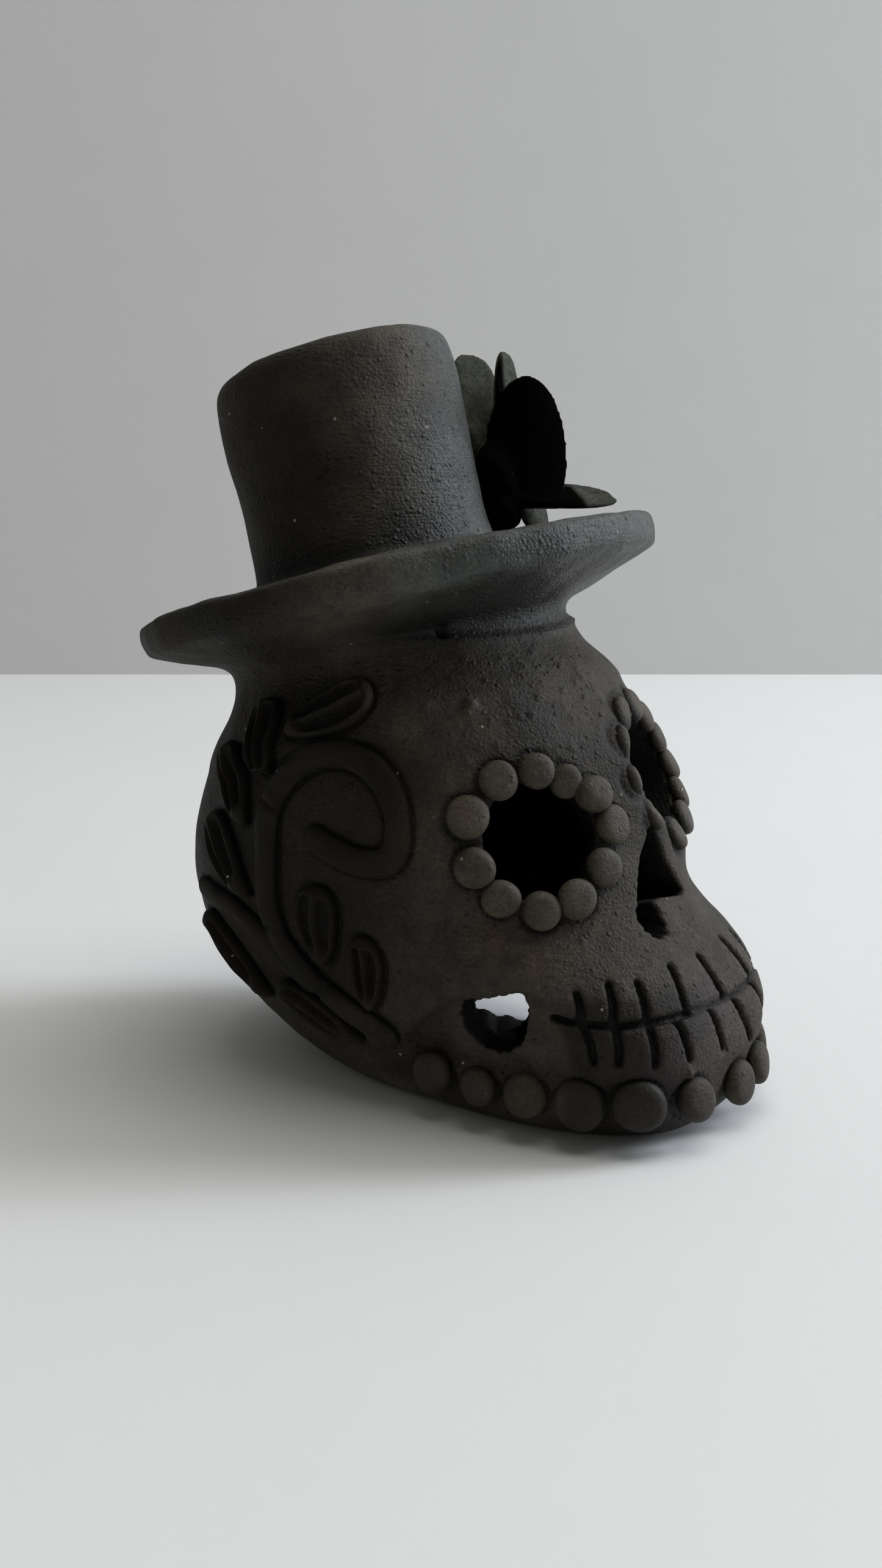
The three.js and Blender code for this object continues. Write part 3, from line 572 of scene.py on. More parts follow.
def break_lower_edge(clay, field, plain):
    """Breaks the lower edge and leaves the ragged ledge, so the floor is seen through the jaw"""
    x, y, z = clay.x, clay.y, clay.z
    notch = sum(((along - middle) / half) ** 2
                for along, middle, half in zip((x, y, z), NOTCH_MIDDLE, NOTCH_HALF))
    field = smooth_max(field, -(np.sqrt(notch) - 1) * NOTCH_HALF[1], 0.8)
    ledge = sum(((along - middle) / half) ** 2
                for along, middle, half in zip((x, y), LEDGE_MIDDLE, LEDGE_HALF))
    ledge = (np.sqrt(ledge) - 1) * LEDGE_HALF[0]
    beside = CREST_DROPS[0] * x + CREST_DROPS[1] * y
    crest = (1.0 + 0.42 * np.clip(18.4 - beside, 0, 5) + 0.22 * np.sin(1.6 * beside)
             + 0.07 * np.sin(5.3 * beside))
    ledge = np.maximum(np.maximum(ledge, z - crest), np.maximum(0.1 - z, plain + 0.05))
    return np.minimum(field, ledge)


def open_face(clay, field, plain, eye_radius):
    """Cuts the eyes, the nose and the two holes in the jaw through the wall"""
    for origin, across, up, out in (seat_axes(clay, plain, *EYE_SEAT_RIGHT), left_eye_axes()):
        cut, x, y, z = clay.part(origin, 19)
        a, b, c = local_of(origin, across, up, out, x, y, z)
        rim = 0.35 * np.sin(3 * np.arctan2(b, a) + 1) + 0.25 * np.sin(5 * np.arctan2(b, a))
        tube = np.sqrt(a ** 2 + (b * 0.98) ** 2) - eye_radius - 0.4 * rim
        tube = np.maximum(tube, np.abs(c + 2) - 12)
        field[cut] = smooth_max(field[cut], -tube, 0.7)

    origin, across, up, out = seat_axes(clay, plain, *NOSE_SEAT)
    cut, x, y, z = clay.part(origin, 17)
    a, b, c = local_of(origin, across, up, out, x, y, z)
    nose = rounded(NOSE_OUTLINE + NOSE_OUTLINE[:1], 1)
    tube = np.maximum(outline_distance(nose, a, b), np.abs(c + 1) - 12)
    field[cut] = smooth_max(field[cut], -tube, 0.5)
    for at_a, at_b, wide, tall, deep in NOSE_LOBES:
        bowl = (np.sqrt(((a - at_a) / wide) ** 2 + ((b - at_b) / tall) ** 2) - 1) * min(wide, tall)
        bowl = bowl + 0.35 * np.sin(3.3 * a + 2) * np.sin(2.9 * b + c) + 0.15 * np.sin(6.7 * b + 3 * a)
        bowl = np.maximum(bowl, np.abs(c) - deep - 0.5 * np.sin(2.1 * a + 1) * np.sin(2.4 * b))
        field[cut] = smooth_max(field[cut], -bowl, 0.5)

    for sign in (1, -1):
        origin, across, up, out = seat_axes(clay, plain, sign * JAW_HOLE_SEAT[0], JAW_HOLE_SEAT[1])
        cut, x, y, z = clay.part(origin, 17)
        a, b, c = local_of(origin, across, up, out, x, y, z)
        ragged = 0.35 * np.sin(3.1 * a + 1.3 * b) * np.sin(2.3 * b - 0.9 * c)
        flat = [(sign * aside, high) for aside, high in JAW_HOLE]
        tube = outline_distance(flat, a, b) + ragged
        field[cut] = smooth_max(field[cut], -np.maximum(tube, np.abs(c + 2) - 11), 0.4)


def cut_mouth(clay, field, plain, groove):
    """Incises the mouth and the strokes between the teeth"""
    along = np.linspace(0, len(MOUTH_LINE) - 1, MOUTH_PLACES)
    turns, heights = (np.interp(along, range(len(MOUTH_LINE)), [p[i] for p in MOUTH_LINE]) for i in (0, 1))
    mouth = list(zip(turns, heights))
    carve_line(clay, field, plain, mouth[:DEEP_MOUTH_PLACES], groove * 0.95, 1.4)
    carve_line(clay, field, plain, mouth[DEEP_MOUTH_PLACES - 1:], groove * 0.95, 0.35)
    for start, end in UPPER_STROKES + LOWER_STROKES:
        places = zip(np.linspace(start[0], end[0], 5), np.linspace(start[1], end[1], 5))
        carve_line(clay, field, plain, list(places), groove, 1.35)


def stick_crumbs(clay, field, plain):
    """A pit under the brim, and crumbs of clay that dried on the brow and the cheeks"""
    rng = np.random.default_rng(17)
    pit = clay.seat(plain, [PIT])[0][0]
    cut, x, y, z = clay.part(pit, 4)
    away = np.sqrt((x - pit[0]) ** 2 + (y - pit[1]) ** 2 + ((z - pit[2]) / 1.4) ** 2)
    field[cut] = smooth_max(field[cut], 1.0 - away, 0.4)
    large = np.array(LARGE_CRUMBS).T
    turns = np.concatenate([large[0], rng.uniform(-12, 58, 70), rng.uniform(20, 75, 30)])
    heights = np.concatenate([large[1], rng.uniform(60, 77, 70), rng.uniform(27, 38, 30)])
    sizes = np.concatenate([large[2], rng.uniform(0.25, 0.55, 100)])
    crumbs, _ = clay.seat(plain, head_point(turns, heights))
    for place, size in zip(crumbs, sizes):
        cut, x, y, z = clay.part(place, size + 2)
        away = np.sqrt((x - place[0]) ** 2 + (y - place[1]) ** 2 + (z - place[2]) ** 2)
        field[cut] = smooth_min(field[cut], away - size, 0.3)


def build_clay(body):
    """The grid, the plain outside that the ornament lies on, the hollow clay and the scores beside it"""
    clay = Clay(body.voxel)
    distance, side = clay.head()
    head = distance - clay.relief(side)
    local = clay.in_frame(HAT_BACK)
    neck = clay.turned(NECK_OUTLINE, local)
    brim = clay.turned(BRIM_OUTLINE, local, BRIM_SHIFT) - 0.3 * clay.unevenness(6, 9)
    rise = CROWN_RISE * (LIT_SIDE[0] * local[0] + LIT_SIDE[1] * local[1])
    crown = clay.turned(CROWN_OUTLINE, [local[0], local[1], local[2] - rise], CROWN_SHIFT)
    outside = smooth_min(np.maximum(head, clay.z - 79.2), neck, 4.0)
    outside = smooth_min(outside, brim, 2.2)
    outside = smooth_min(outside, crown, 1.6)
    lumps = 0.62 * clay.unevenness(11, 3) + 0.4 * clay.unevenness(5, 5) + 0.2 * clay.unevenness(2.2, 7)
    outside -= body.lumps * lumps
    raise_left_socket(clay, outside)
    outside = smooth_max(outside, -clay.z + 0.02, 1.0)
    plain = outside.copy()

    # the wall is thicker at the lower rim and behind the hollowed cheeks
    wall = body.wall + 1.7 * (1 - step(clay.z, 4, 9))
    cheeks = 2.6 * (side > 47) * (side < 88) * (clay.z < 27)
    hollow = np.maximum(distance + wall + cheeks, clay.z - 74)
    hollow = smooth_min(hollow, clay.turned(HOLLOW_OUTLINE, local), 3.0)
    del distance, local, neck, brim, crown
    field = smooth_max(outside, -hollow, 0.8)
    field = break_lower_edge(clay, field, plain)
    open_face(clay, field, plain, body.eye_radius)
    cut_mouth(clay, field, plain, body.groove)
    stick_crumbs(clay, field, plain)
    lines = edges_of_ornament(clay, plain)
    for path, radius in lines:
        press_line(clay, field, path, radius)
    return clay, plain, field, lines


_made = []


def clay_now():
    """The clay of this run, built once and used by every operator: grid, plain outside, field, scores"""
    if not _made:
        _made.append(build_clay(bpy.context.scene.clay_skull_body))
    return _made[0]


# Meshes

def to_metres(points):
    """Places of the potter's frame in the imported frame"""
    out = np.array(points, dtype=np.float64)
    out[:, 1] += MOVE_BACK
    return out * MM


def mesh_object(name, points, faces, material):
    """A new object from places in millimetres and faces that all have the same number of corners"""
    faces = np.asarray(faces, np.int32)
    mesh = bpy.data.meshes.new(name)
    mesh.vertices.add(len(points))
    mesh.vertices.foreach_set("co", to_metres(points).astype(np.float32).ravel())
    mesh.loops.add(faces.size)
    mesh.loops.foreach_set("vertex_index", faces.ravel())
    mesh.polygons.add(len(faces))
    mesh.polygons.foreach_set("loop_start", np.arange(0, faces.size, faces.shape[1], dtype=np.int32))
    mesh.update(calc_edges=True)
    mesh.validate()
    mesh.shade_smooth()
    mesh.materials.append(material)
    made = bpy.data.objects.new(name, mesh)
    bpy.context.scene.collection.objects.link(made)
    return made


def grid_body(name, rings, material):
    """A closed body through rings of places that all have the same count, its ends closed by fans"""
    rings = np.asarray(rings)
    rows, count = rings.shape[:2]
    points = np.concatenate([rings.reshape(-1, 3), rings[0].mean(0)[None], rings[-1].mean(0)[None]])
    faces = []
    for r in range(rows - 1):
        for i in range(count):
            a, b = r * count + i, r * count + (i + 1) % count
            faces += [(a, b, b + count), (a, b + count, a + count)]
    first, last = rows * count, rows * count + 1
    for i in range(count):
        j = (i + 1) % count
        faces += [(first, j, i), (last, (rows - 1) * count + i, (rows - 1) * count + j)]
    faces = np.array(faces)
    p = points[faces]
    if np.einsum("ij,ij->i", p[:, 0], np.cross(p[:, 1], p[:, 2])).sum() < 0:
        faces = faces[:, ::-1]
    return mesh_object(name, points, faces, material)


def apply_modifier(made, kind, **settings):
    """Runs one modifier on an object and keeps its result in the mesh"""
    modifier = made.modifiers.new(kind.lower(), kind)
    for key, value in settings.items():
        setattr(modifier, key, value)
    graph = bpy.context.evaluated_depsgraph_get()
    done = bpy.data.meshes.new_from_object(made.evaluated_get(graph))
    made.modifiers.clear()
    old = made.data
    made.data = done
    done.name = old.name
    bpy.data.meshes.remove(old)
    done.shade_smooth()
    return made


def joined(name, parts):
    """Overlapping bodies as one object"""
    all_points, all_faces, start = [], [], 0
    for part in parts:
        mesh = part.data
        points = np.empty(len(mesh.vertices) * 3, np.float32)
        mesh.vertices.foreach_get("co", points)
        mesh.calc_loop_triangles()
        faces = np.empty(len(mesh.loop_triangles) * 3, np.int32)
        mesh.loop_triangles.foreach_get("vertices", faces)
        all_points.append(points.reshape(-1, 3))
        all_faces.append(faces.reshape(-1, 3) + start)
        start += len(mesh.vertices)
    material = parts[0].data.materials[0]
    for part in parts:
        mesh = part.data
        bpy.data.objects.remove(part)
        bpy.data.meshes.remove(mesh)
    points = np.concatenate(all_points).astype(float) / MM
    points[:, 1] -= MOVE_BACK
    return mesh_object(name, points, np.concatenate(all_faces), material)


def places_of(piece):
    """The places of a piece's mesh in the potter's frame"""
    mesh = piece.data
    points = np.empty(len(mesh.vertices) * 3, np.float32)
    mesh.vertices.foreach_get("co", points)
    points = points.reshape(-1, 3).astype(float) / MM
    points[:, 1] -= MOVE_BACK
    return points


def in_hat(points):
    """Places in the hat's own frame"""
    return (np.concatenate([points, np.ones((len(points), 1))], 1) @ HAT_BACK.T)[:, :3]


def set_mask(piece, name, values):
    """Writes one value from 0 to 1 for each place of a piece, for its material to read"""
    layer = piece.data.attributes.new(name, "FLOAT", "POINT")
    layer.data.foreach_set("value", np.clip(values, 0, 1).astype(np.float32))


def cloud_shade_and_sheen(piece):
    """Darkening on the side away from the light, part kiln smoke and part painted shade, with painted shade
    under the brim; and a painted bluish sheen on the lit, rubbed side of the hat
    """
    points = places_of(piece)
    x, y, z = points.T
    across = x * LIT_SIDE[0] + y * LIT_SIDE[1]
    drift = 4 * np.sin(z / 9 + 1) * np.sin(y / 13) + 2 * np.sin(z / 4 + x / 7)
    # the darkened side, part smoke and part painted shade, reaches further round the head than round the hat,
    # least far round the foot of the head and furthest round the chin
    chin = step(-y, 44, 60)
    edge = (14 * (1 - step(z, 56, 72)) - 26 * (1 - step(z, 14, 24)) * (1 - chin)
            + 46 * chin * (1 - step(z, 24, 29)))
    smoke = 1 - step(across + drift - edge, -20, 17)
    aside, ahead, high = in_hat(points).T
    # painted shade on the neck under the brim
    under_brim = step(-high, 4.4, 6.6) * step(-high, -13, -9.5) * step(np.hypot(aside, ahead), 25, 30)
    set_mask(piece, "smoke", np.maximum(smoke, 0.72 * under_brim))
    # a painted bluish sheen on the lit side of the hat, which the material also makes smoother
    set_mask(piece, "burnish", step(across + drift, -6, 10) * step(z, 77, 82))


def hand_in(piece, slot, *nodes):
    """Fixes a piece to the figure in place of its solids, darkened by smoke and painted shade on the side
    away from the light, with a painted sheen on the hat's lit side
    """
    cloud_shade_and_sheen(piece)
    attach(piece, "root")
    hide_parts(*nodes)
    return piece


# Materials

def linear(hex_colour):
    """An sRGB hex colour as linear RGBA"""
    parts = [int(hex_colour[i:i + 2], 16) / 255 for i in (0, 2, 4)]
    return [c / 12.92 if c <= 0.04045 else ((c + 0.055) / 1.055) ** 2.4 for c in parts] + [1.0]


def node(tree, kind, settings=None, links=None):
    """Adds a shader node: its properties, socket values and ramp stops, and links to sockets by name"""
    made = tree.nodes.new(kind)
    for key, value in (settings or {}).items():
        if key == "stops":
            elements = made.color_ramp.elements
            for element, (place, colour) in zip(elements, (value[0], value[-1])):
                element.position = place
                element.color = colour
            for place, colour in value[1:-1]:
                elements.new(place).color = colour
        elif isinstance(key, str) and hasattr(made, key):
            setattr(made, key, value)
        else:
            made.inputs[key].default_value = value
    for key, source in (links or {}).items():
        tree.links.new(source, made.inputs[key])
    return made


def grey(value):
    """A neutral linear colour"""
    return (value, value, value, 1)


def repeats(size):
    """Scale of a pattern whose marks are so many millimetres apart"""
    return 1 / (size * MM)


def bare_material(name):
    """A new material without nodes"""
    material = bpy.data.materials.new(name)
    material.use_nodes = True
    material.node_tree.nodes.clear()
    return material


# Distances between the marks in the clay, in millimetres. Smoke clouds are about a thumb wide and
# blotches as small as lentils. Sand is about half a millimetre, and the brush's hairs leave lines
# half a millimetre apart. Real pores, pebbles and chalk flecks are finer than these, and they are
# drawn this coarse because they wouldn't show in the render otherwise.
CLOUDS = 22.22
BLOTCHES = 4.762
PORES = 0.6667
SAND = 0.5263
PEBBLES = 1.5625
CHALK = 3.03
BRUSH_HAIRS = (4.167, 2.5, 0.4762)
BRUSH_LEANS = (0.3, 0.2, 0.5)
# What the densest smoke together with painted shade leaves of each colour, and what the painted bluish sheen
# of the rubbed hat leaves of them
SMOKE_AND_SHADE_TINT = (0.12, 0.102, 0.066, 1)
PAINTED_SHEEN_TINT = (0.5, 0.62, 0.71, 1)
# The third colour is the near black of painted shade in hollows, creases, cracks and under the brim
RUST, VIOLET, SOOT_AND_SHADE_BLACK, CHALK_WHITE = "503B34", "453A3D", "080706", "B9B2A4"


# Low-fired earthenware, hand-built, scraped and brushed while wet and then smoked black in the
# kiln. It is matt and nearly black, with paler rubbed places, sand grains of about 0.5 mm standing
# out of it and fine parallel marks of the brush. Painted shade darkens every corner, hollow and crease
# and the side away from the light, and a painted bluish sheen lies on the lit side of the hat.
def smoked_earthenware(name, clay, soot, grain, brush, rough, shine):
    """The material of that name, made on its first use"""
    if name in bpy.data.materials:
        return bpy.data.materials[name]
    material = bare_material(name)
    tree = material.node_tree
    place = node(tree, "ShaderNodeTexCoord").outputs["Object"]
    broad = node(tree, "ShaderNodeTexNoise", {"Scale": repeats(CLOUDS), "Detail": 4, "Roughness": 0.6},
                 {"Vector": place}).outputs["Fac"]
    blotch = node(tree, "ShaderNodeTexNoise", {"Scale": repeats(BLOTCHES), "Detail": 5, "Roughness": 0.65},
                  {"Vector": place}).outputs["Fac"]
    speck = node(tree, "ShaderNodeTexNoise", {"Scale": repeats(PORES), "Detail": 3, "Roughness": 0.6},
                 {"Vector": place}).outputs["Fac"]
    crumb = node(tree, "ShaderNodeTexVoronoi", {"Scale": repeats(SAND), "Randomness": 1}, {"Vector": place})
    pebble = node(tree, "ShaderNodeTexVoronoi", {"Scale": repeats(PEBBLES), "Randomness": 1},
                  {"Vector": place})
    pale = node(tree, "ShaderNodeTexVoronoi", {"Scale": repeats(CHALK), "Randomness": 1}, {"Vector": place})
    stretch = node(tree, "ShaderNodeMapping", {
        "Rotation": BRUSH_LEANS, "Scale": [repeats(size) for size in BRUSH_HAIRS]}, {"Vector": place})
    strokes = node(tree, "ShaderNodeTexNoise", {
        "Scale": 1, "Detail": 4, "Roughness": 0.6, "Distortion": 0.4}, {"Vector": stretch.outputs["Vector"]})
    # Of these masks, the first is painted shade in hollows and creases, the fourth is smoke together with
    # painted shade on the side away from the light, and the last is a painted bluish sheen where the hat is
    # rubbed smoother
    soot_and_shade_fac, rusty, violet, smoked_and_shaded, rubbed_and_sheen = (
        node(tree, "ShaderNodeAttribute", {"attribute_name": mask}).outputs["Fac"]
        for mask in ("soot", "rust", "violet", "smoke", "burnish"))

    # colour: the fired clay, then what the fire, the hands and the years put over it, with painted shade and
    # a painted sheen among them
    dark, light = linear(soot), linear(clay)
    mid = [(a * 0.8 + b * 0.2) for a, b in zip(dark, light)]
    pale_clay = [c * 1.32 for c in light[:3]] + [1]
    fired = node(tree, "ShaderNodeValToRGB", {
        "stops": [(0.34, mid), (0.5, light), (0.68, pale_clay)]}, {"Fac": broad})
    blotches = node(tree, "ShaderNodeValToRGB", {
        "stops": [(0.3, grey(0.55)), (0.52, grey(1)), (0.72, grey(1.3))]}, {"Fac": blotch})
    mottled = node(tree, "ShaderNodeMix", {"data_type": "RGBA", "blend_type": "MULTIPLY", 0: 0.9}, {
        6: fired.outputs["Color"], 7: blotches.outputs["Color"]})
    # darkening towards the side away from the light, part smoke and part painted shade
    smoke_and_shade_tint = node(tree, "ShaderNodeValToRGB", {
        "stops": [(0.0, grey(1)), (1.0, SMOKE_AND_SHADE_TINT)]}, {"Fac": smoked_and_shaded})
    clouded_and_shaded = node(tree, "ShaderNodeMix", {"data_type": "RGBA", "blend_type": "MULTIPLY", 0: 1.0}, {
        6: mottled.outputs[2], 7: smoke_and_shade_tint.outputs["Color"]})
    # painted bluish sheen on the lit side of the hat
    sheen_blued = node(tree, "ShaderNodeMix", {"data_type": "RGBA", "blend_type": "MULTIPLY", 7: PAINTED_SHEEN_TINT}, {
        0: rubbed_and_sheen, 6: clouded_and_shaded.outputs[2]})
    broken = node(tree, "ShaderNodeValToRGB", {
        "stops": [(0.42, grey(0.05)), (0.6, grey(1))]}, {"Fac": blotch})
    patchy = node(tree, "ShaderNodeMath", {"operation": "MULTIPLY"}, {0: rusty, 1: broken.outputs["Color"]})
    red = node(tree, "ShaderNodeMix", {"data_type": "RGBA", 7: linear(RUST)}, {
        0: patchy.outputs[0], 6: sheen_blued.outputs[2]})
    purple = node(tree, "ShaderNodeMix", {"data_type": "RGBA", 7: linear(VIOLET)}, {
        0: violet, 6: red.outputs[2]})
    # painted shade in hollows, creases and under the brim, as near black
    shade_blackened = node(tree, "ShaderNodeMix", {"data_type": "RGBA", 7: linear(SOOT_AND_SHADE_BLACK)}, {
        0: soot_and_shade_fac, 6: purple.outputs[2]})
    pores = node(tree, "ShaderNodeValToRGB", {
        "stops": [(0.35, grey(0.55)), (0.5, grey(1)), (0.68, grey(1.5))]}, {"Fac": speck})
    grains = node(tree, "ShaderNodeMix", {"data_type": "RGBA", "blend_type": "MULTIPLY", 0: 0.55}, {
        6: shade_blackened.outputs[2], 7: pores.outputs["Color"]})
    flecks = node(tree, "ShaderNodeValToRGB", {
        "stops": [(0.0, grey(1)), (0.06, grey(1)), (0.1, grey(0))]}, {"Fac": pale.outputs["Distance"]})
    few = node(tree, "ShaderNodeValToRGB", {
        "stops": [(0.0, grey(0)), (0.76, grey(0)), (0.82, grey(0.6))]}, {"Fac": pale.outputs["Color"]})
    where = node(tree, "ShaderNodeMath", {"operation": "MULTIPLY"}, {
        0: flecks.outputs["Color"], 1: few.outputs["Color"]})
    flecked = node(tree, "ShaderNodeMix", {"data_type": "RGBA", 7: linear(CHALK_WHITE)}, {
        0: where.outputs[0], 6: grains.outputs[2]})

    # gloss: matt in cloudy patches, smoother where it was rubbed
    matt = node(tree, "ShaderNodeValToRGB", {
        "stops": [(0.35, grey(rough - 0.06)), (0.7, grey(rough + 0.1))]}, {"Fac": broad})
    gloss = node(tree, "ShaderNodeMix", {"data_type": "RGBA", "blend_type": "MULTIPLY", 7: grey(0.66)}, {
        0: rubbed_and_sheen, 6: matt.outputs["Color"]})

    # relief, from the broadest to the finest: blotches, a few pebbles, sand, pores, brush marks
    domes = node(tree, "ShaderNodeValToRGB", {
        "stops": [(0.0, grey(1)), (0.12, grey(0.8)), (0.3, grey(0))]}, {"Fac": pebble.outputs["Distance"]})
    some = node(tree, "ShaderNodeValToRGB", {
        "stops": [(0.38, grey(0)), (0.5, grey(0.5)), (0.72, grey(1))]}, {"Fac": pebble.outputs["Color"]})
    lumps = node(tree, "ShaderNodeMath", {"operation": "MULTIPLY"}, {
        0: domes.outputs["Color"], 1: some.outputs["Color"]})
    low = node(tree, "ShaderNodeBump", {"Strength": 0.3, "Distance": 0.3 * MM}, {"Height": blotch})
    stuck = node(tree, "ShaderNodeBump", {"Strength": grain, "Distance": 0.4 * MM}, {
        "Height": lumps.outputs[0], "Normal": low.outputs["Normal"]})
    sand = node(tree, "ShaderNodeBump", {"Strength": grain * 0.7, "Distance": 0.2 * MM, "invert": True}, {
        "Height": crumb.outputs["Distance"], "Normal": stuck.outputs["Normal"]})
    fine = node(tree, "ShaderNodeBump", {"Strength": grain * 0.7, "Distance": 0.2 * MM}, {
        "Height": speck, "Normal": sand.outputs["Normal"]})
    marks = node(tree, "ShaderNodeBump", {"Strength": brush, "Distance": 0.3 * MM}, {
        "Height": strokes.outputs["Fac"], "Normal": fine.outputs["Normal"]})
    shader = node(tree, "ShaderNodeBsdfPrincipled", {
        "IOR": 1.5, "Metallic": 0.0, "Specular IOR Level": shine}, {
        "Base Color": flecked.outputs[2], "Roughness": gloss.outputs[2], "Normal": marks.outputs["Normal"]})
    node(tree, "ShaderNodeOutputMaterial", {}, {"Surface": shader.outputs["BSDF"]})
    return material


# Painted board and paper of a tabletop studio: matt, almost white, with a faint tooth. The real
# tooth is far finer than 71 mm, and is drawn this coarse so that it shows as a soft unevenness.
BOARD_TOOTH = 71.43


def matt_board(name, colour):
    """The board's material in one colour"""
    material = bare_material(name)
    tree = material.node_tree
    place = node(tree, "ShaderNodeTexCoord").outputs["Object"]
    tooth = node(tree, "ShaderNodeTexNoise", {"Scale": repeats(BOARD_TOOTH), "Detail": 3}, {"Vector": place})
    base = linear(colour)
    shaded = [c * 0.985 for c in base[:3]] + [1]
    tone = node(tree, "ShaderNodeValToRGB", {
        "stops": [(0.3, shaded), (0.7, base)]}, {"Fac": tooth.outputs["Fac"]})
    shader = node(tree, "ShaderNodeBsdfPrincipled", {"IOR": 1.45, "Roughness": 0.72}, {
        "Base Color": tone.outputs["Color"]})
    node(tree, "ShaderNodeOutputMaterial", {}, {"Surface": shader.outputs["BSDF"]})
    return material


# The coarse clay of head and hat, scraped with sand standing out of it
def body_clay(scene):
    body = scene.clay_skull_body
    return smoked_earthenware("smoked_earthenware", body.clay, body.soot,
                              grain=0.95, brush=0.75, rough=0.68, shine=0.22)


# Clay that was rolled between the hands, so its sand is pressed in
def pellet_clay(scene):
    body, trim = scene.clay_skull_body, scene.clay_skull_trim
    return smoked_earthenware("pressed_earthenware", trim.pellet_clay, body.clay,
                              grain=0.45, brush=0.5, rough=0.66, shine=0.28)


# Rolled and scored clay of vines and leaves, with soot in its pores
def sprig_clay(scene):
    body, trim = scene.clay_skull_body, scene.clay_skull_trim
    return smoked_earthenware("scored_earthenware", trim.sprig_clay, body.soot,
                              grain=0.4, brush=0.4, rough=0.7, shine=0.2)


# The flower's clay, matt as chalk, with hardly any light off it, so that the painted shade on the petals
# turned from the light stays black
def matt_flower_clay(scene):
    body, trim = scene.clay_skull_body, scene.clay_skull_trim
    return smoked_earthenware("matt_flower_earthenware", trim.pellet_clay, body.soot,
                              grain=0.3, brush=0.3, rough=0.95, shine=0.0)


# Pieces

def eye_ring_left():
    """Places of the pellets round the left eye"""
    origin, across, up, out = left_eye_axes()
    places = []
    for angle in LEFT_EYE_ANGLES:
        round_ = math.radians(angle)
        places.append(origin + across * LEFT_EYE_RING[0] * math.cos(round_)
                      + up * LEFT_EYE_RING[1] * math.sin(round_)
                      - out * (0.1 + 1.7 * max(0.0, -math.cos(round_))))
    return places


def left_eye_facings():
    """The way each of the left eye's pellets faces: those beside the nose lean in over the opening"""
    _, across, up, out = left_eye_axes()
    facings = []
    for angle in LEFT_EYE_ANGLES:
        round_ = math.radians(angle)
        inward = -across * math.cos(round_) - up * math.sin(round_)
        lean = 0.7 * max(0.0, -math.cos(round_)) - 0.1 * max(0.0, math.cos(round_))
        leaning = out + lean * inward
        facings.append(leaning / np.linalg.norm(leaning))
    return facings


def seats_of(clay, plain, pellets):
    """Where pellets given by turn and height are pressed on, with their width and height"""
    seats, _ = clay.seat(plain, head_point([p[0] for p in pellets], [p[1] for p in pellets]))
    return [(seat, p[2], p[3]) for seat, p in zip(seats, pellets)]


def all_seats(clay, plain):
    """Where every pellet is pressed on, with its width and height: the right eye, the left, the jaw"""
    jaw = JAW_PELLETS_RIGHT + [JAW_PELLET_MIDDLE]
    jaw += [(-turn, *rest) for turn, *rest in reversed(JAW_PELLETS_RIGHT)]
    left = [(seat, *LEFT_EYE_PELLET) for seat in eye_ring_left()]
    return seats_of(clay, plain, EYE_PELLETS_RIGHT), left, seats_of(clay, plain, jaw)


def pellet_rings(clay, plain, seat, width, stands, seed, facing=None, least_up=None):
    """A ball of clay pressed flat: rounded sides, a soft dome and the unevenness of fingers"""
    rng = np.random.default_rng(seed)
    if facing is None:
        origin, out = clay.seat(plain, [seat])
        origin, out = origin[0], out[0]
    else:
        origin, out = np.array(seat, float), np.array(facing, float)
    if least_up is not None:
        out[2] = max(out[2], least_up)
    out = out + rng.normal(0, 0.045, 3)
    out /= np.linalg.norm(out)
    across, up = upright_axes(out)
    angle = np.linspace(0, 2 * np.pi, 36, endpoint=False)
    wobble = 1 + 0.022 * np.cos(2 * angle + rng.uniform(0, 6)) + 0.014 * np.cos(3 * angle + rng.uniform(0, 6))
    radius = width / 2 * wobble
    dent = rng.uniform(0, 2 * np.pi)
    belly = 0.36 * stands
    rings = []
    for t in np.radians([-62, -38, -18, -4, 8, 20, 32, 43, 53, 62, 70, 77, 83.5, 88]):
        if t < 0:
            r, h = math.cos(t) ** 0.6, belly * (1 + 2.1 * math.sin(t))
        else:
            r, h = math.cos(t) ** 0.56, belly + (stands - belly) * math.sin(t) ** 0.95
        slope = 0.05 * stands * r * np.cos(angle - dent)
        ring = (origin + np.outer(r * radius * np.cos(angle), across)
                + np.outer(r * radius * np.sin(angle), up))
        rings.append(ring + np.outer(h + slope, out))
    return rings


def press_on(scene, row, seats, seed, facings=None, least_up=None, haze=0.0):
    """Presses a row of pellets on, with painted shade where they meet the clay and, where asked, an even
    darkening over the rest
    """
    clay, plain = clay_now()[:2]
    for i, (seat, width, stands) in enumerate(seats):
        name = f"{row}_{i + 1:02d}"
        facing = facings[i] if facings else None
        rings = pellet_rings(clay, plain, seat, width, stands, seed + i, facing, least_up)
        piece = grid_body(name + "_clay", rings, pellet_clay(scene))
        distance, _ = clay.sample(plain, places_of(piece))
        # painted shade in the crease round the pellet's foot, and the given even darkening over the rest
        set_mask(piece, "soot", np.maximum(0.9 * (1 - step(distance, 0.1, 1.0)), haze))
        hand_in(piece, "pellet_clay", name)


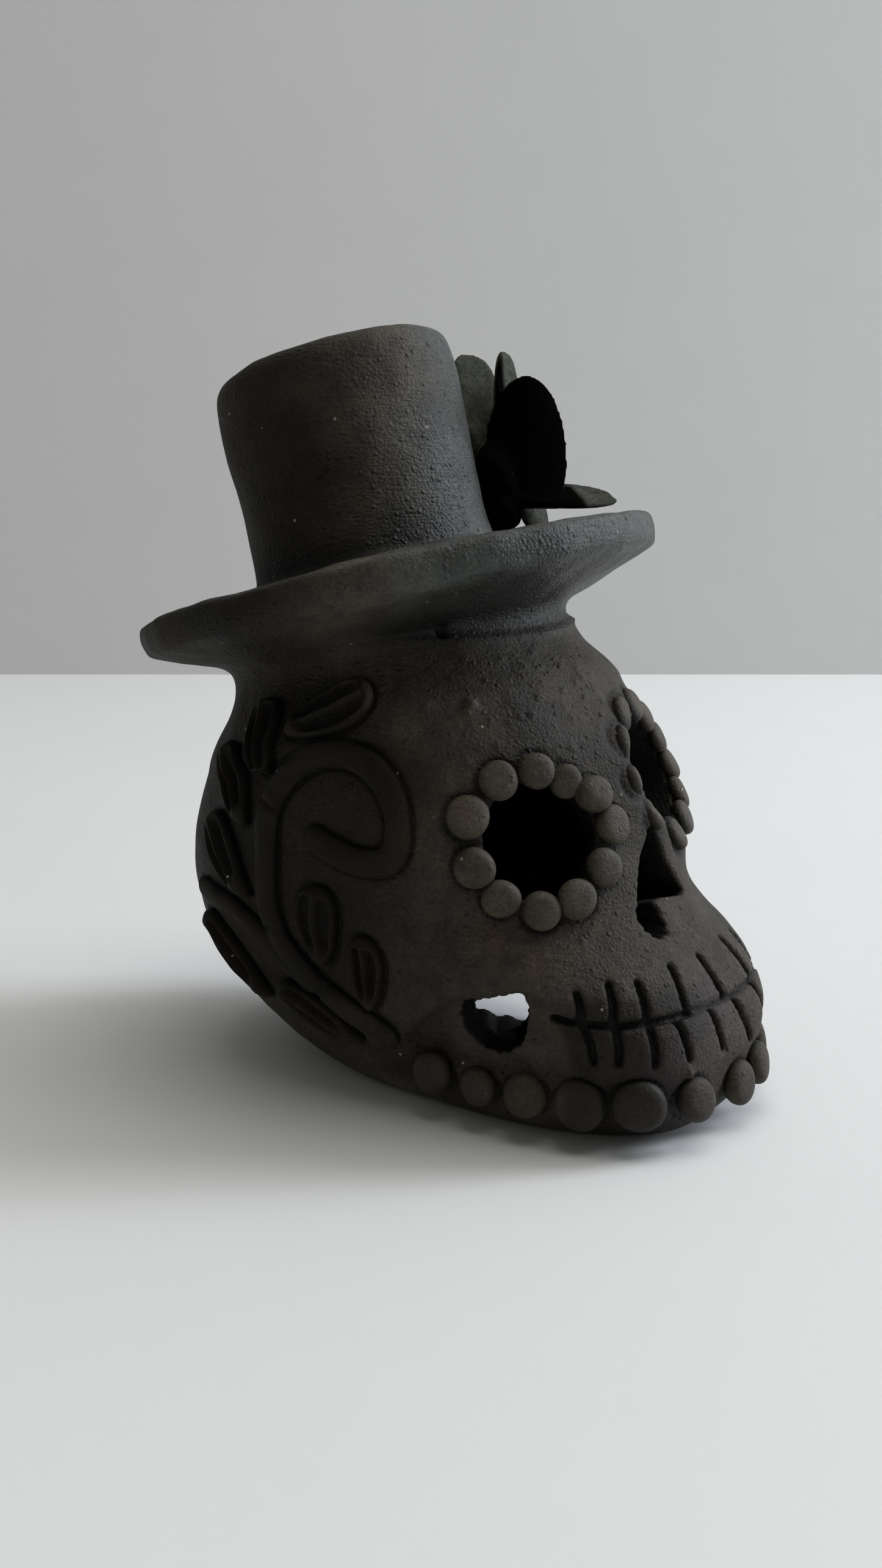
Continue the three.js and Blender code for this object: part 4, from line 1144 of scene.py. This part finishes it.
def catmull(points, count):
    """A smooth path through points, with its length shared evenly"""
    points = np.asarray(points, float)
    p = np.concatenate([2 * points[:1] - points[1:2], points, 2 * points[-1:] - points[-2:-1]])
    fine = []
    for i in range(1, len(p) - 2):
        for t in np.linspace(0, 1, 16, endpoint=False):
            fine.append(0.5 * (2 * p[i] + (p[i + 1] - p[i - 1]) * t
                               + (2 * p[i - 1] - 5 * p[i] + 4 * p[i + 1] - p[i + 2]) * t * t
                               + (3 * p[i] - p[i - 1] - 3 * p[i + 1] + p[i + 2]) * t ** 3))
    fine.append(p[-2])
    fine = np.array(fine)
    along = np.concatenate([[0], np.cumsum(np.linalg.norm(np.diff(fine, axis=0), axis=1))])
    even = np.linspace(0, along[-1], count)
    return np.stack([np.interp(even, along, fine[:, i]) for i in range(3)], -1)


def path_on_head(clay, plain, places, side, count):
    """A smooth path through turns and heights, mirrored for the left side"""
    turns = [side * p[0] for p in places]
    return catmull(clay.seat(plain, head_point(turns, [p[1] for p in places]))[0], count)


def coil_rings(clay, plain, places, side, width, height, rings, seed, cracks=()):
    """A flattened coil that lies on the clay"""
    rng = np.random.default_rng(seed)
    path, out = clay.seat(plain, path_on_head(clay, plain, places, side, rings))
    along = np.gradient(path, axis=0)
    along /= np.linalg.norm(along, axis=1, keepdims=True)
    across = np.cross(along, out)
    across /= np.linalg.norm(across, axis=1, keepdims=True)
    u = np.linspace(0, 1, rings)
    length = np.linalg.norm(np.diff(path, axis=0), axis=1).sum()
    ends = np.clip(np.minimum(u, 1 - u) * length / (width * 0.5), 0, 1)
    ends = np.sqrt(np.clip(1 - (1 - ends) ** 2, 0.02, 1))
    waver = np.interp(u, np.linspace(0, 1, 19), rng.uniform(0.93, 1.05, 19))
    crack = np.zeros(rings)
    for place in cracks:
        crack = np.maximum(crack, np.exp(-((u - place) * length / 0.45) ** 2))
    profile = [(math.copysign(abs(math.sin(t)) ** 0.9, math.sin(t)), math.cos(t) ** 0.62)
               for t in np.radians(np.linspace(-88, 88, COIL_ACROSS))]
    sides = []
    for aside, rise in profile + [(0.85, -0.35), (0.0, -0.4), (-0.85, -0.35)]:
        beside = path + across * (aside * width / 2 * waver * ends)[:, None]
        lift = np.where(rise > 0, rise * height * ends * (1 - 0.42 * crack), rise)
        sides.append(clay.seat(plain, beside, lift)[0])
    return np.stack(sides, 1)


def leaf_gouges(s, u):
    """The two gouges of a leaf from 0 to 1, across and along it; they close in on the rib to the tip"""
    near = [np.exp(-((s - at * (1 - 0.12 * u)) / 0.3) ** 6) for at in (-0.45, 0.45)]
    return np.maximum(*near) * (step(u, 0.08, 0.2) * step(1 - u, 0.16, 0.36))


def leaf_rings(clay, plain, leaf, side, height, seed):
    """A pressed leaf with two gouges on either side of its middle rib"""
    rng = np.random.default_rng(seed)
    blunt_turn, blunt_height, tip_turn, tip_height, width = leaf
    ends, _ = clay.seat(plain, head_point([side * blunt_turn, side * tip_turn], [blunt_height, tip_height]))
    rows = 30
    u = (1 - np.cos(np.linspace(0.12, np.pi - 0.1, rows))) / 2
    u = (u - u[0]) / (u[-1] - u[0])
    path, out = clay.seat(plain, head_point(side * (blunt_turn + u * (tip_turn - blunt_turn)),
                                            blunt_height + u * (tip_height - blunt_height)))
    along = ends[1] - ends[0]
    length = np.linalg.norm(along)
    across = np.cross(along / length, out)
    across /= np.linalg.norm(across, axis=1, keepdims=True)
    half = width * 0.56 * np.clip(np.sin(np.pi * u ** 0.7), 0, 1) ** 0.62 + 0.08
    bend = rng.uniform(-0.12, 0.12)
    end = np.clip(np.minimum(u * length / 1.3, (1 - u) * length / 2.2), 0, 1) ** 0.5
    sides = []
    for s in np.linspace(-1, 1, LEAF_ACROSS):
        edge = max(0.0, 1 - abs(s) ** 5) ** 0.5
        lift = height * (0.25 + 0.75 * edge * end) * (0.9 + 0.1 * np.cos(s * 2))
        lift = lift - leaf_gouges(s, u) * height * 0.88 - (0.25 * height if abs(s) == 1 else 0)
        beside = path + across * (s * half + bend * np.sin(np.pi * u))[:, None]
        sides.append(clay.seat(plain, beside, lift)[0])
    for s in (0.9, 0.0, -0.9):
        beside = path + across * (s * half + bend * np.sin(np.pi * u))[:, None]
        sides.append(clay.seat(plain, beside, np.full(rows, -0.35))[0])
    return np.stack(sides, 1)


def leaf_shade(rows):
    """Painted shade in the gouges and round the edge: one value for each place on the leaf's rings"""
    s = np.concatenate([np.linspace(-1, 1, LEAF_ACROSS), [0.9, 0, -0.9]])
    gouges = leaf_gouges(s[None, :], np.linspace(0, 1, rows)[:, None])
    return 0.62 * np.maximum(gouges * 0.85, (np.abs(s) > 0.97)[None, :] * 0.8)


def petal_rings(petal, flower, thick):
    """A thin petal, cupped and a little rolled at its end"""
    foot, tip, face, width, widest, narrow, cup = petal
    foot, tip, face = np.array(foot), np.array(tip), np.array(face)
    along = tip - foot
    length = np.linalg.norm(along)
    along = along / length
    face = face - along * (face @ along)
    face /= np.linalg.norm(face)
    across = np.cross(along, face)
    rings = []
    for u in np.concatenate([np.linspace(0, 0.9, 24), [0.93, 0.955, 0.975, 0.99, 1.0]]):
        if u < widest:
            half = width / 2 * (narrow + (1 - narrow) * math.sin(math.pi / 2 * u / widest))
        else:
            half = width / 2 * math.sqrt(max(0.004, 1 - ((u - widest) / (1 - widest)) ** 2.2))
        deep = thick * (1.25 - 0.5 * u) * (1 if u < 0.9 else math.sqrt(max(0.05, 1 - ((u - 0.9) / 0.1) ** 2)))
        ring = []
        for s in np.concatenate([np.linspace(-1, 1, 15), np.linspace(1, -1, 15)[1:-1]]):
            top = len(ring) < 15
            rise = (0.5 if top else -0.5) * math.sqrt(max(0.0, 1 - abs(s) ** 4)) * deep
            curl = cup * half * s * s - 0.035 * length * u * u + 0.22 * math.sin(3 * s + 4 * u) * u
            place = foot + along * length * u + across * half * s + face * (curl + rise)
            ring.append((flower @ np.append(place, 1))[:3])
        rings.append(ring)
    return np.array(rings)


def lump_rings(centre, radii, flower):
    """A rough lump of clay"""
    rings = []
    for t in np.radians(np.linspace(-86, 86, 14)):
        ring = []
        for a in np.linspace(0, 2 * np.pi, 24, endpoint=False):
            r = math.cos(t) * (1 + 0.09 * math.cos(3 * a + 4 * t) + 0.06 * math.sin(5 * a - 3 * t))
            place = np.array([r * math.cos(a), r * math.sin(a), math.sin(t)]) * radii + centre
            ring.append((flower @ np.append(place, 1))[:3])
        rings.append(ring)
    return rings


# Operators

class CLAYSKULL_OT_body(bpy.types.Operator):
    """Builds the hollow head, neck and hat from one lump of clay"""
    bl_idname = "clay_skull.body"
    bl_label = "Head and hat"

    def execute(self, context):
        body = context.scene.clay_skull_body
        clay, plain, field, lines = clay_now()
        grid = openvdb.FloatGrid(2.0)
        grid.copyFromArray(np.ascontiguousarray(np.clip(field, -2, 2), dtype=np.float32))
        points, quads = grid.convertToQuads(0.0)
        points = np.asarray(points, float) * clay.cell + clay.low
        quads = np.asarray(quads, np.int64)
        p = points[quads]
        if np.einsum("ij,ij->i", p[:, 0], np.cross(p[:, 1], p[:, 2])).sum() < 0:
            quads = quads[:, ::-1]
        if not len(quads):
            raise RuntimeError("the clay has no surface")
        piece = mesh_object("skull_with_hat_clay", points, quads, body_clay(context.scene))
        share = body.faces / (2 * len(quads))
        if share < 1:
            apply_modifier(piece, "DECIMATE", ratio=share)
        self.stain_and_shade(piece, clay, plain, lines)
        hand_in(piece, "smoked_clay", "skull_with_hat")
        return {"FINISHED"}

    def stain_and_shade(self, piece, clay, plain, lines):
        """Painted shade in the hollows, under the brim, at the crown's foot and beside all that is pressed
        on, and the warmer patches of the face
        """
        points = places_of(piece)
        distance, _ = clay.sample(plain, points)
        # painted shade on every surface that lies inside the outside: openings, cut faces and the hollow
        soot = 0.97 * step(-distance, 0.25, 0.8)
        scored = np.concatenate([path for path, _ in lines])
        tree = kdtree.KDTree(len(scored))
        for i, place in enumerate(scored):
            tree.insert(place, i)
        tree.balance()
        away = np.array([tree.find(place)[2] for place in points])
        x, y, z = points.T
        # painted shade under the brim and round the crown's foot on the near side
        under_brim = np.exp(-((x + 20) / 11) ** 2 - ((y + 19) / 12) ** 2 - ((z - 81) / 4.5) ** 2)
        aside, ahead, high = in_hat(points).T
        crown_foot = np.exp(-((high - 4) / 4.0) ** 2) * (np.hypot(aside, ahead) < 25) * step(-x, -4, 10)
        soot = np.maximum(soot, np.maximum(0.95 * under_brim, 0.9 * crown_foot))
        # painted shade beside all that is pressed on
        soot = np.maximum(soot, 0.8 * (1 - step(away, 0.3, 0.95)))
        set_mask(piece, "soot", soot)
        for mask, spots in (("rust", RUST_SPOTS), ("violet", VIOLET_SPOTS)):
            stained = np.zeros(len(points))
            for turn, height, reach, strength in spots:
                away = np.linalg.norm(points - head_point([turn], [height]), axis=1)
                stained = np.maximum(stained, strength * np.exp(-(away / reach) ** 2))
            set_mask(piece, mask, stained)


class CLAYSKULL_OT_eye_pellets(bpy.types.Operator):
    """Presses the rings of pellets on round both eyes"""
    bl_idname = "clay_skull.eye_pellets"
    bl_label = "Eye pellets"

    def execute(self, context):
        right, left, _ = all_seats(*clay_now()[:2])
        press_on(context.scene, "eye_pellet_right", right, 20)
        press_on(context.scene, "eye_pellet_left", left, 60, left_eye_facings())
        return {"FINISHED"}


class CLAYSKULL_OT_jaw_pellets(bpy.types.Operator):
    """Presses the row of pellets on along the lower edge of the jaw"""
    bl_idname = "clay_skull.jaw_pellets"
    bl_label = "Jaw pellets"

    def execute(self, context):
        jaw = all_seats(*clay_now()[:2])[2]
        press_on(context.scene, "jaw_pellet", jaw, 90, least_up=0.12, haze=0.32)
        return {"FINISHED"}


class CLAYSKULL_OT_vines(bpy.types.Operator):
    """Lays the flattened coils on both cheeks"""
    bl_idname = "clay_skull.vines"
    bl_label = "Vines"

    def execute(self, context):
        clay, plain = clay_now()[:2]
        trim = context.scene.clay_skull_trim
        wide, high = trim.vine_width, trim.vine_height
        for name, side, seed in (("vine_right", 1, 11), ("vine_left", -1, 12)):
            stem = coil_rings(clay, plain, VINE, side, wide, high, 200, seed, VINE_CRACKS)
            branch = coil_rings(clay, plain, BRANCH, side, wide * 0.85, high * 0.9, 60, seed + 5)
            coils = [grid_body(name + "_stem", stem, sprig_clay(context.scene)),
                     grid_body(name + "_branch", branch, sprig_clay(context.scene))]
            piece = joined(name + "_clay", coils)
            apply_modifier(piece, "REMESH", mode="VOXEL", voxel_size=0.35 * MM, use_smooth_shade=True)
            set_mask(piece, "soot", self.coil_shade(piece, clay, plain, side, wide))
            hand_in(piece, "sprig_clay", name)
        return {"FINISHED"}

    def coil_shade(self, piece, clay, plain, side, wide):
        """Painted shade where the coil meets the clay and in its cracks"""
        points = places_of(piece)
        distance, _ = clay.sample(plain, points)
        # painted shade where the coil meets the clay
        soot = 0.8 * (1 - step(distance, 0.0, 0.7))
        steps = 400
        path = path_on_head(clay, plain, VINE, side, steps + 1)
        for place in VINE_CRACKS:
            i = int(place * steps)
            along = path[i + 1] - path[i - 1]
            along /= np.linalg.norm(along)
            beside = np.abs((points - path[i]) @ along + 0.18 * np.sin(3 * (points[:, 2] + points[:, 1])))
            near = np.linalg.norm(points - path[i], axis=1) < wide * 0.62
            # painted shade in each crack
            soot = np.maximum(soot, near * 0.9 * (1 - step(beside, 0.08, 0.3)))
        return soot


class CLAYSKULL_OT_leaves(bpy.types.Operator):
    """Presses the carved leaves on beside the vines"""
    bl_idname = "clay_skull.leaves"
    bl_label = "Leaves"

    def execute(self, context):
        clay, plain = clay_now()[:2]
        height = context.scene.clay_skull_trim.leaf_height
        for word, side in (("right", 1), ("left", -1)):
            for i, leaf in enumerate(LEAVES):
                name = f"leaf_{word}_{i + 1:02d}"
                rings = leaf_rings(clay, plain, leaf, side, height, 40 + i)
                piece = grid_body(name + "_clay", rings, sprig_clay(context.scene))
                ends = [0.5, 0.5]
                # painted shade in the gouges and round the edge
                set_mask(piece, "soot", np.append(leaf_shade(len(rings)).ravel(), ends))
                hand_in(piece, "sprig_clay", name)
        return {"FINISHED"}


class CLAYSKULL_OT_flower(bpy.types.Operator):
    """Sticks the flower to the side of the crown"""
    bl_idname = "clay_skull.flower"
    bl_label = "Flower"

    def execute(self, context):
        turn = math.radians(FLOWER_TURN)
        out = np.array([-math.sin(turn), -math.cos(turn), 0])
        up = np.array([0.0, 0.0, 1.0])
        to_face = -np.cross(up, out)
        seat = out * FLOWER_OFF_AXIS
        seat[2] = FLOWER_HEIGHT
        local = np.eye(4)
        local[:3, 0], local[:3, 1], local[:3, 2], local[:3, 3] = to_face, up, out, seat
        local = HAT @ local
        thick = context.scene.clay_skull_trim.petal
        clay = matt_flower_clay(context.scene)
        parts = [grid_body(f"petal_{i}", petal_rings(petal, local, thick), clay)
                 for i, petal in enumerate(PETALS)]
        parts += [grid_body(f"lump_{i}", lump_rings(centre, half, local), clay)
                  for i, (centre, half) in enumerate(FLOWER_LUMPS)]
        piece = joined("flower_clay", parts)
        apply_modifier(piece, "REMESH", mode="VOXEL", voxel_size=0.4 * MM, use_smooth_shade=True)
        apply_modifier(piece, "SMOOTH", factor=0.5, iterations=4)
        normals = np.empty(len(piece.data.vertices) * 3, np.float32)
        piece.data.vertices.foreach_get("normal", normals)
        facing = normals.reshape(-1, 3) @ local[:3, 0]
        from_seat = places_of(piece) - local[:3, 3]
        front = from_seat @ local[:3, 0]
        off_crown = from_seat @ local[:3, 2]
        # painted shade: the petal faces that look towards the skull's face, away from the window light, are
        # painted near black
        shaded_face = step(facing, 0.1, 0.5) * step(front, -0.6, 1.2) * (1 - step(off_crown, 16.8, 18.4))
        set_mask(piece, "soot", shaded_face)
        hand_in(piece, "pellet_clay", "flower")
        return {"FINISHED"}


class CLAYSKULL_OT_stage(bpy.types.Operator):
    """Sets up the pale floor and wall, the window light and the camera"""
    bl_idname = "clay_skull.stage"
    bl_label = "Floor, light and camera"

    def execute(self, context):
        scene = context.scene
        stage = scene.clay_skull_stage
        turn = stage.camera_turn
        ahead = Vector((-math.sin(turn), math.cos(turn), 0))
        aside = Vector((ahead.y, -ahead.x, 0))
        axis = Vector((0, MOVE_BACK * MM, 0))
        level = ahead * math.cos(CAMERA_ASIDE) - aside * math.sin(CAMERA_ASIDE)
        right = Vector((level.y, -level.x, 0))
        forward = level * math.cos(CAMERA_DOWN) - Vector((0, 0, 1)) * math.sin(CAMERA_DOWN)
        up = right.cross(forward)
        eye = axis - ahead * CAMERA_AWAY + Vector((0, 0, stage.camera_height))
        lens = bpy.data.cameras.new("photo_camera")
        lens.sensor_fit = "VERTICAL"
        lens.sensor_height = SENSOR_HEIGHT
        lens.lens = SENSOR_HEIGHT * PICTURE_LENS / PICTURE_HEIGHT
        lens.clip_start = 0.01
        lens.clip_end = 20
        camera = bpy.data.objects.new("photo_camera", lens)
        camera.matrix_world = Matrix((
            (right.x, up.x, -forward.x, eye.x), (right.y, up.y, -forward.y, eye.y),
            (right.z, up.z, -forward.z, eye.z), (0, 0, 0, 1)))
        scene.collection.objects.link(camera)
        scene.camera = camera

        upward = Vector((0, 0, WALL_HALF))
        self.board("studio_floor", axis, aside * BOARD_HALF, ahead * BOARD_HALF, stage.floor, scene)
        self.board("studio_wall", axis + level * WALL_BEHIND + upward, right * BOARD_HALF, upward, stage.wall,
                   scene)

        for name, (to_right, away, high), distance, size, share, colour in LIGHTS:
            direction = right * to_right + level * away + Vector((0, 0, high))
            self.window(name, axis + Vector(LIT_MIDDLE), direction, distance, size, stage.window * share,
                        colour)
        world = bpy.data.worlds.new("pale_room")
        world.use_nodes = True
        tree = world.node_tree
        tree.nodes.clear()
        sky = node(tree, "ShaderNodeBackground", {"Color": linear("F2F1EF"), "Strength": stage.sky})
        node(tree, "ShaderNodeOutputWorld", {}, {"Surface": sky.outputs["Background"]})
        scene.world = world
        scene.view_settings.view_transform = "Standard"
        return {"FINISHED"}

    def board(self, name, centre, half_a, half_b, colour, scene):
        """A flat board of the stage, with a few rows of faces"""
        mesh = bpy.data.meshes.new(name)
        rows = 8
        line = rows + 1
        steps = [2 * i / rows - 1 for i in range(line)]
        points = [centre + half_a * a + half_b * b for b in steps for a in steps]
        firsts = [r * line + c for r in range(rows) for c in range(rows)]
        faces = [(i, i + 1, i + line + 1, i + line) for i in firsts]
        mesh.from_pydata(points, [], faces)
        mesh.materials.append(matt_board(name, colour))
        made = bpy.data.objects.new(name, mesh)
        scene.collection.objects.link(made)

    def window(self, name, centre, direction, distance, size, power, colour):
        """A square area light that looks at a place from a direction"""
        light = bpy.data.lights.new(name, "AREA")
        light.shape = "SQUARE"
        light.size = size
        light.energy = power
        light.color = linear(colour)[:3]
        made = bpy.data.objects.new(name, light)
        toward = direction.normalized()
        made.location = centre + toward * distance
        made.rotation_euler = toward.to_track_quat("Z", "Y").to_euler()
        bpy.context.scene.collection.objects.link(made)


class CLAYSKULL_PT_panel(bpy.types.Panel):
    """Lists the steps of making the skull"""
    bl_label = "Clay skull"
    bl_idname = "CLAYSKULL_PT_panel"
    bl_space_type = "VIEW_3D"
    bl_region_type = "UI"
    bl_category = "Clay skull"

    def draw(self, context):
        for group in ("clay_skull_body", "clay_skull_trim", "clay_skull_stage"):
            box = self.layout.box()
            settings = getattr(context.scene, group)
            for key in settings.__annotations__:
                box.prop(settings, key)
        for operator in OPERATORS:
            self.layout.operator(operator.bl_idname)


SETTINGS = (ClaySkullBody, ClaySkullTrim, ClaySkullStage)
OPERATORS = (CLAYSKULL_OT_body, CLAYSKULL_OT_eye_pellets, CLAYSKULL_OT_jaw_pellets, CLAYSKULL_OT_vines,
             CLAYSKULL_OT_leaves, CLAYSKULL_OT_flower, CLAYSKULL_OT_stage)


def register():
    """Adds the classes and the three groups of settings"""
    for item in SETTINGS + OPERATORS + (CLAYSKULL_PT_panel,):
        bpy.utils.register_class(item)
    bpy.types.Scene.clay_skull_body = PointerProperty(type=ClaySkullBody)
    bpy.types.Scene.clay_skull_trim = PointerProperty(type=ClaySkullTrim)
    bpy.types.Scene.clay_skull_stage = PointerProperty(type=ClaySkullStage)


def unregister():
    """Takes them away again"""
    del bpy.types.Scene.clay_skull_stage
    del bpy.types.Scene.clay_skull_trim
    del bpy.types.Scene.clay_skull_body
    for item in reversed(SETTINGS + OPERATORS + (CLAYSKULL_PT_panel,)):
        bpy.utils.unregister_class(item)


def main():
    """Runs every step in order"""
    register()
    bpy.ops.clay_skull.body()
    bpy.ops.clay_skull.eye_pellets()
    bpy.ops.clay_skull.jaw_pellets()
    bpy.ops.clay_skull.vines()
    bpy.ops.clay_skull.leaves()
    bpy.ops.clay_skull.flower()
    bpy.ops.clay_skull.stage()


if __name__ == "__main__":
    main()
